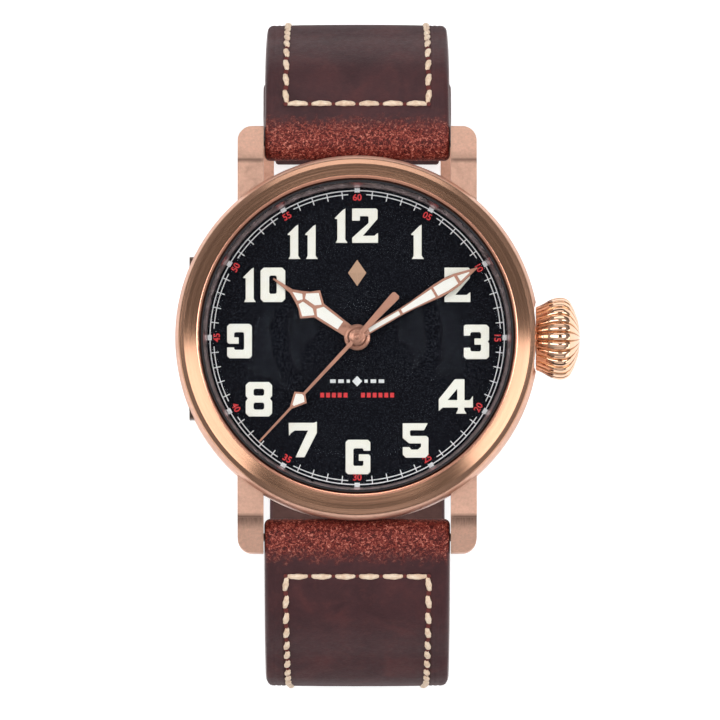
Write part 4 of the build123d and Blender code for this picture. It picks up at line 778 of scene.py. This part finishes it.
HUBS = {
    "hour_hub": ("hours", 0.03, [
        (0.72, 9.25), (1.55, 9.25), (1.55, 9.34), (1.3, 9.42), (0.98, 9.36), (0.72, 9.42),
    ]),
    "minute_hub": ("minutes", 0.03, [
        (0.44, 9.85), (1.0, 9.85), (0.98, 9.95), (0.7, 10.0), (0.44, 9.94),
    ]),
    "second_hub": ("seconds", 0.02, [
        (AXIS, 10.58), (0.78, 10.58), (0.76, 10.66), (0.5, 10.7), (0.34, 10.66), (0.3, 10.76), (0.14, 10.8),
        (AXIS, 10.8),
    ]),
}
for name, (body, corner, points) in HUBS.items():
    rows = plain_rows(points, corner, "hand_bronze")
    lathe(name, rows, body, ["hand_bronze"], segments=96)

# Strap: its middle line is a list of corners, seen from the side as distance and level

REACH = 38.6
KNEE, BAR = (REACH, -42.0), (27.6, -62.9)
SHORT = [(24.5, 3.2), (REACH - 4.6, -1.5), (REACH, -13.0), KNEE, BAR]
SHORT_HALF = [2.2, 2.15, 1.95, 1.7, 1.5]
SHORT_END = 1.75
LONG_REACH = REACH + 0.6
TAIL_LEVEL = -65.5
LONG = SHORT[:2] + [(LONG_REACH, -13.0), (LONG_REACH, KNEE[1]), (26.0, TAIL_LEVEL), (-13.0, TAIL_LEVEL)]
LONG_HALF = [2.2, 2.15, 2.8, 2.3, 1.5, 1.5]
BEND_SHARES = (0.45, 0.39, 0.35, 0.28)
WIDE, NARROW, LONG_NARROW, WIDE_LEVEL, NARROW_LEVEL = 11.5, 10.3, 11.1, 3.2, -69.5
SAMPLE_STEP = 0.36


def bend_radii(points):
    """The radius at each corner, whose tangents take a share of the shorter run beside it."""
    radii = []
    for before, here, after, share in zip(points, points[1:], points[2:], BEND_SHARES):
        run = min(math.dist(before, here), math.dist(here, after))
        half = (Vector(before) - Vector(here)).angle(Vector(after) - Vector(here)) / 2
        radii.append(share * run * math.tan(half))
    return radii


def straight_samples(start, end):
    """Points along a straight run, without its end."""
    count = max(int((end - start).length / SAMPLE_STEP), 1)
    return [start.lerp(end, k / count) for k in range(count)]


def arc_samples(start, end, middle, radius):
    """Points along the shorter arc about a middle, without its end."""
    first = math.atan2(start.y - middle.y, start.x - middle.x)
    last = math.atan2(end.y - middle.y, end.x - middle.x)
    turn = (last - first + math.pi) % (2 * math.pi) - math.pi
    count = max(int(abs(turn) * radius / SAMPLE_STEP), 2)
    angles = [first + turn * k / count for k in range(count)]
    return [middle + Vector((math.cos(a), math.sin(a))) * radius for a in angles]


def path_samples(points):
    """Points in small steps along a line whose corners are rounded."""
    out = []
    cursor = Vector(points[0])
    for before, point, after, bend in zip(points, points[1:], points[2:], bend_radii(points)):
        here = Vector(point)
        back = (Vector(before) - here).normalized()
        ahead = (Vector(after) - here).normalized()
        half = back.angle(ahead) / 2
        reach = bend / math.tan(half)
        start, end = here + back * reach, here + ahead * reach
        middle = here + (back + ahead).normalized() * (bend / math.sin(half))
        out += straight_samples(cursor, start)
        out += arc_samples(start, end, middle, bend)
        cursor = end
    last = Vector(points[-1])
    return out + straight_samples(cursor, last) + [last]


def strap_frame(points, halves):
    """For each sample: place, outward normal, distance along, half thickness and direction."""
    line = path_samples(points)
    along = [0.0]
    for a, b in zip(line, line[1:]):
        along.append(along[-1] + (b - a).length)
    keys = []
    for point in points:
        nearest = min(range(len(line)), key=lambda i: (line[i] - Vector(point)).length)
        keys.append(along[nearest])
    rows = []
    for i, (p, s) in enumerate(zip(line, along)):
        tangent = (line[min(i + 1, len(line) - 1)] - line[max(i - 1, 0)]).normalized()
        normal = Vector((-tangent.y, tangent.x))
        j = max(k for k, key in enumerate(keys) if key <= s + 1e-6)
        half = halves[-1]
        if j < len(keys) - 1:
            t = (s - keys[j]) / (keys[j + 1] - keys[j])
            half = halves[j] * (1 - t) + halves[j + 1] * t
        rows.append((p, normal, s, half, tangent))
    return rows


def half_width(level, narrow=NARROW):
    """Half the strap's width, which shrinks evenly on the way down."""
    t = min(max((WIDE_LEVEL - level) / (WIDE_LEVEL - NARROW_LEVEL), 0), 1)
    return WIDE + (narrow - WIDE) * t


# Leather: distances from the strap's side at which the mesh has points, and where its marks lie

EDGE_STEPS = [
    0.0, 0.05, 0.16, 0.34, 0.6, 0.92, 1.04, 1.15, 1.26, 1.45, 1.69, 1.8, 1.91,
    2.1, 2.3, 2.45, 2.6, 2.75, 2.9, 3.15, 3.9, 5.0, 6.4, 8.0,
]
PAINTED_EDGE, LINING_EDGE = 0.1, 0.34
ROW_INSET = 2.6
PRESSED_LINES = (1.15, 1.8)
# Distances along the strap: the cross row, where the side channels and the pressed lines begin,
# and how far before the end the channels stop.
CROSS_ROW, CHANNEL_START, PRESSED_START, CHANNEL_MARGIN = 4.2, 3.9, 3.4, 3.4
OUTER_CORNER, INNER_CORNER = 0.75, 0.4
CHANNEL_DEPTH, CHANNEL_SPREAD, CROSS_SPREAD = 0.2, 0.26, 0.3
PRESSED_DEPTH, PRESSED_SPREAD = 0.07, 0.1
SIDE_DROOP = 0.12
END_STEPS, NOSE_STEPS, NOSE_RADIUS = 12, 14, 2.3
# How flat and narrow the tail's end is, as a share.
TAIL_SHARE = 0.02
LEATHER, PAINT, LINING = 0, 1, 2


def corner_drop(edge, radius):
    """How far a round corner lies below the face beside it."""
    if edge >= radius:
        return 0.0
    return radius - math.sqrt(radius**2 - (radius - edge) ** 2)


def dent(distance, depth, spread):
    """The depth of a soft groove at a distance from its middle."""
    return depth * math.exp(-((distance / spread) ** 2))


def leather_drop(part, side, edge, width, s, length):
    """How far the leather lies below its full height, at a distance from the strap's side."""
    drop = corner_drop(edge, OUTER_CORNER if part in ("out", "nose") else INNER_CORNER)
    if part != "out":
        return drop
    channel, cross = 0.0, 0.0
    if side and CHANNEL_START < s < length - CHANNEL_MARGIN:
        channel = dent(edge - ROW_INSET, CHANNEL_DEPTH, CHANNEL_SPREAD)
    if edge > ROW_INSET:
        cross = dent(s - CROSS_ROW, CHANNEL_DEPTH, CROSS_SPREAD)
    drop += max(channel, cross)
    if side and s > PRESSED_START:
        drop += sum(dent(edge - at, PRESSED_DEPTH, PRESSED_SPREAD) for at in PRESSED_LINES)
    if width > 1:
        drop += SIDE_DROOP * ((width - edge) / width) ** 2
    return drop


def strap_loop(rows, end_radius, tail):
    """The strap's outline from the side: outer face, end, inner face and rolled root."""
    loop = [(p, n, s, h, "out") for p, n, s, h, _ in rows]
    p, n, s, _, t = rows[-1]
    past = TAIL_SHARE if tail else 1.0
    for k in range(1, END_STEPS):
        a = math.pi * k / END_STEPS
        loop.append((p, n * math.cos(a) + t * math.sin(a) * past, s + 0.001, end_radius, "end"))
    loop += [(p, -n, s, h, "in") for p, n, s, h, _ in reversed(rows)]
    p, n, _, _, t = rows[0]
    for k in range(1, NOSE_STEPS):
        a = math.pi * k / NOSE_STEPS
        loop.append((p, -n * math.cos(a) - t * math.sin(a), 0.0, NOSE_RADIUS, "nose"))
    return loop


def strap_side(shell, count, total, across, station, tip, root):
    """Closes one side of a strap: a wall between its faces, and fans at its end and root."""
    last = 2 * count + END_STEPS - 2

    def at(i):
        return i % total * across + station

    walls = [(at(i), at(i + 1), at(last - 1 - i), at(last - i)) for i in range(count - 1)]
    walls += [(at(i), at(i + 1), tip) for i in range(count - 1, count + END_STEPS - 1)]
    walls += [(at(i), at(i + 1), root) for i in range(last, total)]
    for corners in walls:
        shell.face(corners if station == 0 else corners[::-1], PAINT)


def strap_cover(body, rows, flip, end_radius, tail=0.0):
    """A closed strap with stitch channels and a rolled root. It narrows over the length of its tail."""
    length = rows[-1][2]
    narrow = LONG_NARROW if tail else NARROW
    loop = strap_loop(rows, end_radius, tail)
    stations = [(-1, e) for e in EDGE_STEPS] + [(0, WIDE)] + [(1, e) for e in reversed(EDGE_STEPS)]
    shell = Shell()
    for p, n, s, h, part in loop:
        w = half_width(p.y, narrow)
        if tail and s > length - tail:
            u = (s - (length - tail)) / tail
            w *= math.sqrt(max(1 - u**2.2, 0.0)) * (1 - TAIL_SHARE) + TAIL_SHARE
        for side, e in stations:
            edge = min(e, w)
            q = p + n * (h - leather_drop(part, side, edge, w, s, length))
            shell.verts.append((side * (w - edge) * flip, q.x * flip, q.y))
    across, total = len(stations), len(loop)
    for i in range(total):
        j = (i + 1) % total
        inner = loop[i][4] == "in" and loop[j][4] == "in"
        a, b = i * across, j * across
        for k in range(across - 1):
            edge = EDGE_STEPS[min(k, across - 2 - k)]
            look = PAINT if edge < PAINTED_EDGE else LEATHER
            if inner and edge >= LINING_EDGE:
                look = LINING
            shell.face((a + k, a + k + 1, b + k + 1, b + k), look)
    end, start = rows[-1][0], rows[0][0]
    end_width = half_width(end.y, narrow) * (TAIL_SHARE if tail else 1)
    for side, station in ((-1, 0), (1, across - 1)):
        tip = len(shell.verts)
        shell.verts.append((side * end_width * flip, end.x * flip, end.y))
        shell.verts.append((side * half_width(start.y) * flip, start.x * flip, start.y))
        strap_side(shell, len(rows), total, across, station, tip, tip + 1)
    looks = ["strap_leather", "strap_edge", "strap_lining"]
    replaced = [f"{body}_leather", f"{body}_lining"]
    obj = piece(f"{body}_cover", shell, body, looks, replaced=replaced)
    face_outward(obj, merge=0.0005)
    return obj


# Stitches

NEEDLE_HOLE = 1
RINGS, SIDES, HOLE_SIDES = 13, 12, 10
THREAD_WIDE = 0.72
STITCH_LONG, STITCH_TALL, STITCH_LEAN, STITCH_PITCH = 2.12, 0.52, 0.14, 2.2
CROSS_LONG, CROSS_TALL, CROSS_PITCH, CROSS_COUNT = 2.86, 0.54, 2.95, 6
FIRST_STITCH = 5.35
THREAD_SINK = 0.02


def thread_stitch(shell, place, axes, length, tall, lean=0.0):
    """One stitch: a plump twisted thread whose ends dive into the leather."""
    along, across, up = axes
    start = len(shell.verts)
    for i in range(RINGS):
        t = i / (RINGS - 1) * 2 - 1
        girth = max(1 - abs(t) ** 2.3, 0.0) ** 0.6 * 0.92 + 0.1
        dive = -0.34 * abs(t) ** 3.5
        for k in range(SIDES):
            a = 2 * math.pi * k / SIDES
            half = girth / 2 * (1 + 0.09 * math.cos(2 * a + 7.5 * t))
            aside = math.cos(a) * THREAD_WIDE * half + lean * t
            height = math.sin(a) * tall * half + dive
            q = place + along * (t * length / 2) + across * aside + up * height
            shell.verts.append(tuple(q))
    for i in range(RINGS - 1):
        a, b = start + i * SIDES, start + (i + 1) * SIDES
        for k in range(SIDES):
            m = (k + 1) % SIDES
            shell.face((a + k, a + m, b + m, b + k))
    shell.face([start + k for k in reversed(range(SIDES))])
    shell.face([start + (RINGS - 1) * SIDES + k for k in range(SIDES)])
    for end in (-1, 1):
        centre = place + along * (end * (length / 2 + 0.06)) - up * 0.06
        needle_hole(shell, centre, axes)


def needle_hole(shell, centre, axes):
    """A low dark cone where a thread enters the leather."""
    along, across, up = axes
    first = len(shell.verts)
    shell.verts.append(tuple(centre + up * 0.12))
    for k in range(HOLE_SIDES):
        a = 2 * math.pi * k / HOLE_SIDES
        rim = along * (0.27 * math.cos(a)) + across * (0.3 * math.sin(a)) - up * 0.08
        shell.verts.append(tuple(centre + rim))
    for k in range(HOLE_SIDES):
        shell.face((first, first + 1 + k, first + 1 + (k + 1) % HOLE_SIDES), NEEDLE_HOLE)


def strap_threads(body, rows, flip, end_margin):
    """A row of stitches along each side of a strap, and one across its root."""
    shell = Shell()
    length = rows[-1][2]

    def turn(x, y, z):
        return Vector((x * flip, y * flip, z))

    def spot(distance):
        """Place, height of the thread, direction and outward normal at a distance along the strap."""
        p, n, _, h, t = min(rows, key=lambda row: abs(row[2] - distance))
        return p, h - THREAD_SINK, turn(0, t.x, t.y), turn(0, n.x, n.y)

    sideways = turn(1, 0, 0)
    count = int((length - FIRST_STITCH - end_margin) / STITCH_PITCH) + 1
    for index in range(count):
        p, height, along, normal = spot(FIRST_STITCH + STITCH_PITCH * index)
        row = half_width(p.y) - ROW_INSET
        for side in (-1, 1):
            place = turn(side * row, p.x, p.y) + normal * height
            axes = (along, sideways, normal)
            thread_stitch(shell, place, axes, STITCH_LONG, STITCH_TALL, STITCH_LEAN * side)
    p, height, along, normal = spot(CROSS_ROW)
    for index in range(CROSS_COUNT):
        x = CROSS_PITCH * (index - (CROSS_COUNT - 1) / 2)
        place = turn(x, p.x, p.y) + normal * height
        thread_stitch(shell, place, (sideways, along, normal), CROSS_LONG, CROSS_TALL)
    looks = ["thread", "needle_hole"]
    face_outward(piece(f"{body}_threads", shell, body, looks, replaced=[f"{body}_stitching"]))


def cut(obj, tools):
    """Cuts tools out of a piece. A tool is a matrix, three half sizes and its number of sides."""
    cutter_mesh = bpy.data.meshes.new("cutter")
    shape = bmesh.new()
    for matrix, halves, sides in tools:
        if sides == 4:
            made = bmesh.ops.create_cube(shape, size=2.0)
        else:
            made = bmesh.ops.create_cone(shape, cap_ends=True, segments=sides, radius1=1, radius2=1, depth=2)
        size = Matrix.Diagonal((*[h * MM for h in halves], 1))
        bmesh.ops.transform(shape, matrix=matrix @ size, verts=made["verts"])
    shape.to_mesh(cutter_mesh)
    shape.free()
    cutter = add_object("cutter", cutter_mesh)
    change = obj.modifiers.new("cut", "BOOLEAN")
    change.object = cutter
    change.operation = "DIFFERENCE"
    change.solver = "EXACT"
    bpy.context.view_layer.update()
    graph = bpy.context.evaluated_depsgraph_get()
    result = bpy.data.meshes.new_from_object(obj.evaluated_get(graph))
    obj.modifiers.clear()
    obj.data = result
    bpy.data.objects.remove(cutter)


short_rows = strap_frame(SHORT, SHORT_HALF)
long_rows = strap_frame(LONG, LONG_HALF)
short_strap = strap_cover("strap_12", short_rows, 1, SHORT_END)
long_strap = strap_cover("strap_6", long_rows, -1, LONG_HALF[-1], tail=9.0)
strap_threads("strap_12", short_rows, 1, end_margin=4.4)
strap_threads("strap_6", long_rows, -1, end_margin=14.4)

# The slot for the buckle's tongue, and the holes of the long half

END_LEAN = math.atan2(KNEE[1] - BAR[1], KNEE[0] - BAR[0])
SLOT_SHIFT, SLOT_HALVES = -0.87, (1.5, 2.42, 2.75)
HOLES, FIRST_HOLE, HOLE_PITCH = 4, 1.0, 6.0
HOLE_HALVES, HOLE_FACETS = (0.75, 1.2, 4.0), 24


def end_place(distance, unit=1.0):
    """A frame on the short half's last run, at a distance up from the buckle's bar."""
    bar = Matrix.Translation((0, BAR[0] * unit, BAR[1] * unit))
    return bar @ Matrix.Rotation(END_LEAN, 4, "X") @ Matrix.Translation((0, distance * unit, 0))


cut(short_strap, [(end_place(SLOT_SHIFT, MM), SLOT_HALVES, 4)])
holes = []
for index in range(HOLES):
    hole_place = Matrix.Translation((0, (FIRST_HOLE - HOLE_PITCH * index) * MM, TAIL_LEVEL * MM))
    holes.append((hole_place, HOLE_HALVES, HOLE_FACETS))
cut(long_strap, holes)

# Keepers


def power_of(value, exponent):
    """A power that keeps the sign."""
    return math.copysign(abs(value) ** exponent, value)


def keeper_piece(node, distance, body):
    """A leather loop with rounded edges."""
    half_inside, half_gap, thick, half_long = 10.8, 1.9, 1.1, 2.0
    corner_steps, section_steps = 6, 16
    lean = end_place(distance)
    section = []
    for k in range(section_steps):
        a = 2 * math.pi * k / section_steps
        out = (1 + power_of(math.sin(a), 0.5)) * thick / 2
        section.append((power_of(math.cos(a), 0.35) * half_long, out))
    shell = Shell()
    for sx, sz, start in ((1, 1, 0), (-1, 1, 90), (-1, -1, 180), (1, -1, 270)):
        for k in range(corner_steps + 1):
            a = math.radians(start + 90 * k / corner_steps)
            for u, v in section:
                px = sx * half_inside + math.cos(a) * v
                pz = sz * half_gap + math.sin(a) * v
                shell.verts.append(tuple(lean @ Vector((px, u, pz))))
    total = len(shell.verts)
    for i in range(0, total, section_steps):
        j = (i + section_steps) % total
        for k in range(section_steps):
            q = (k + 1) % section_steps
            shell.face((i + k, i + q, j + q, j + k))
    face_outward(piece(f"{node}_loop", shell, body, ["strap_leather"], replaced=[node]))


keeper_piece("fixed_keeper", 6.0, "strap_12")
keeper_piece("sliding_keeper", 10.6, "sliding_keeper")

# Stage: a pale floor that the camera and mirrors see glowing white near the watch

FLOOR, FLOOR_HALF = -67.25, 3000
GLOW, GLOW_FADES = 0.5, (250, 600)


def floor_look():
    shade = Shade("pale_floor", (0.78, 0.78, 0.78), rough=0.9, spec=0.1)
    rays = shade.node("ShaderNodeLightPath").outputs
    mirrored = shade.math("MAXIMUM", rays["Is Glossy Ray"], rays["Is Transmission Ray"])
    seen = shade.math("MAXIMUM", rays["Is Camera Ray"], mirrored)
    away = shade.node("ShaderNodeVectorMath", operation="LENGTH")
    shade.fill(away, {0: shade.place})
    glow = shade.span(away.outputs["Value"], *GLOW_FADES, GLOW, 0.0)
    shade.fill(shade.bsdf, {"Emission Color": (1, 1, 1), "Emission Strength": shade.times(seen, glow)})
    return shade.mat


floor_mesh = bpy.data.meshes.new("floor")
corners = [(x * FLOOR_HALF * MM, y * FLOOR_HALF * MM, FLOOR * MM) for x, y in SQUARE]
floor_mesh.from_pydata(corners, [], [(0, 1, 2, 3)])
floor_mesh.materials.append(floor_look())
floor = add_object("floor", floor_mesh)

# The room's light: at the horizon, and what height, its cube and the side behind twelve add.
ROOM_HORIZON, ROOM_RISE, ROOM_TOP, ROOM_BEHIND = 0.05, 0.36, 0.5, 0.35
# The dark patch overhead: its direction, where it begins, how sharply, and how dark it is.
PATCH_UP, PATCH_BACK, PATCH_START, PATCH_SLOPE, PATCH_DARK = 0.985, 0.17, 0.905, 13.0, 0.9


def studio_world():
    """A soft white room: dark at the horizon, brighter behind twelve o'clock, a dark patch overhead."""
    world = bpy.data.worlds.new("studio")
    world.use_nodes = True
    net = Net(world.node_tree)
    room = net.tree.nodes["Background"]
    _, north, up = net.split(net.node("ShaderNodeTexCoord").outputs["Generated"])
    height = net.math("MAXIMUM", up, 0.0)
    behind = net.math("MAXIMUM", north, 0.0)
    level = net.plus(net.times(height, ROOM_RISE), ROOM_HORIZON)
    level = net.plus(level, net.times(net.math("POWER", height, 3.0), ROOM_TOP))
    level = net.plus(level, net.times(net.times(height, behind), ROOM_BEHIND))
    patch = net.plus(net.times(height, PATCH_UP), net.times(north, PATCH_BACK))
    patch = net.times(net.math("SUBTRACT", patch, PATCH_START), PATCH_SLOPE)
    patch = net.math("MINIMUM", net.math("MAXIMUM", patch, 0.0), 1.0)
    level = net.times(level, net.math("SUBTRACT", 1.0, net.times(patch, PATCH_DARK)))
    net.fill(room, {"Color": (1, 1, 1), "Strength": level})
    return world


bpy.context.scene.world = studio_world()

# Softboxes: name, place, size and power. All point at LIT.
LIT = Vector((0, 0, 8))
SOFTBOXES = [
    ("back_softbox", (0, 840, 400), (900, 240), 1.25),
    ("front_softbox", (0, -840, 400), (900, 240), 0.6),
    ("high_left_softbox", (-440, 90, 760), (300, 620), 2.6),
    ("high_right_softbox", (440, 90, 760), (300, 620), 2.6),
    ("left_softbox", (-658, -292, 110), (660, 240), 1.08),
    ("right_softbox", (682, -280, 110), (660, 240), 1.18),
]


def aim(obj, place, direction):
    """Sets a lamp or the camera at a place, looking in a direction."""
    obj.location = place * MM
    obj.rotation_euler = direction.to_track_quat("-Z", "Y").to_euler()


for name, place, (width, height), power in SOFTBOXES:
    data = bpy.data.lights.new(name, "AREA")
    data.shape = "RECTANGLE"
    data.size = width * MM
    data.size_y = height * MM
    data.energy = power
    aim(add_object(name, data), Vector(place), LIT - Vector(place))

# Camera: nearly straight above, far away, with a long lens

ELEVATION = math.radians(87)
CAMERA_DISTANCE = 2500
MIDDLE, LOWERED = Vector((0.35, 0, 12.8)), 3.0
scene = bpy.context.scene
scene.view_settings.view_transform = "Standard"
cam_data = bpy.data.cameras.new("camera")
cam_data.sensor_width = 36
cam_data.lens = 1012.5
cam_data.clip_start = 10 * MM
cam_data.clip_end = 10000 * MM
camera = add_object("camera", cam_data)
back = Vector((0, -math.cos(ELEVATION), math.sin(ELEVATION)))
up = Vector((0, math.sin(ELEVATION), math.cos(ELEVATION)))
aim(camera, MIDDLE - up * LOWERED + back * CAMERA_DISTANCE, -back)
scene.camera = camera
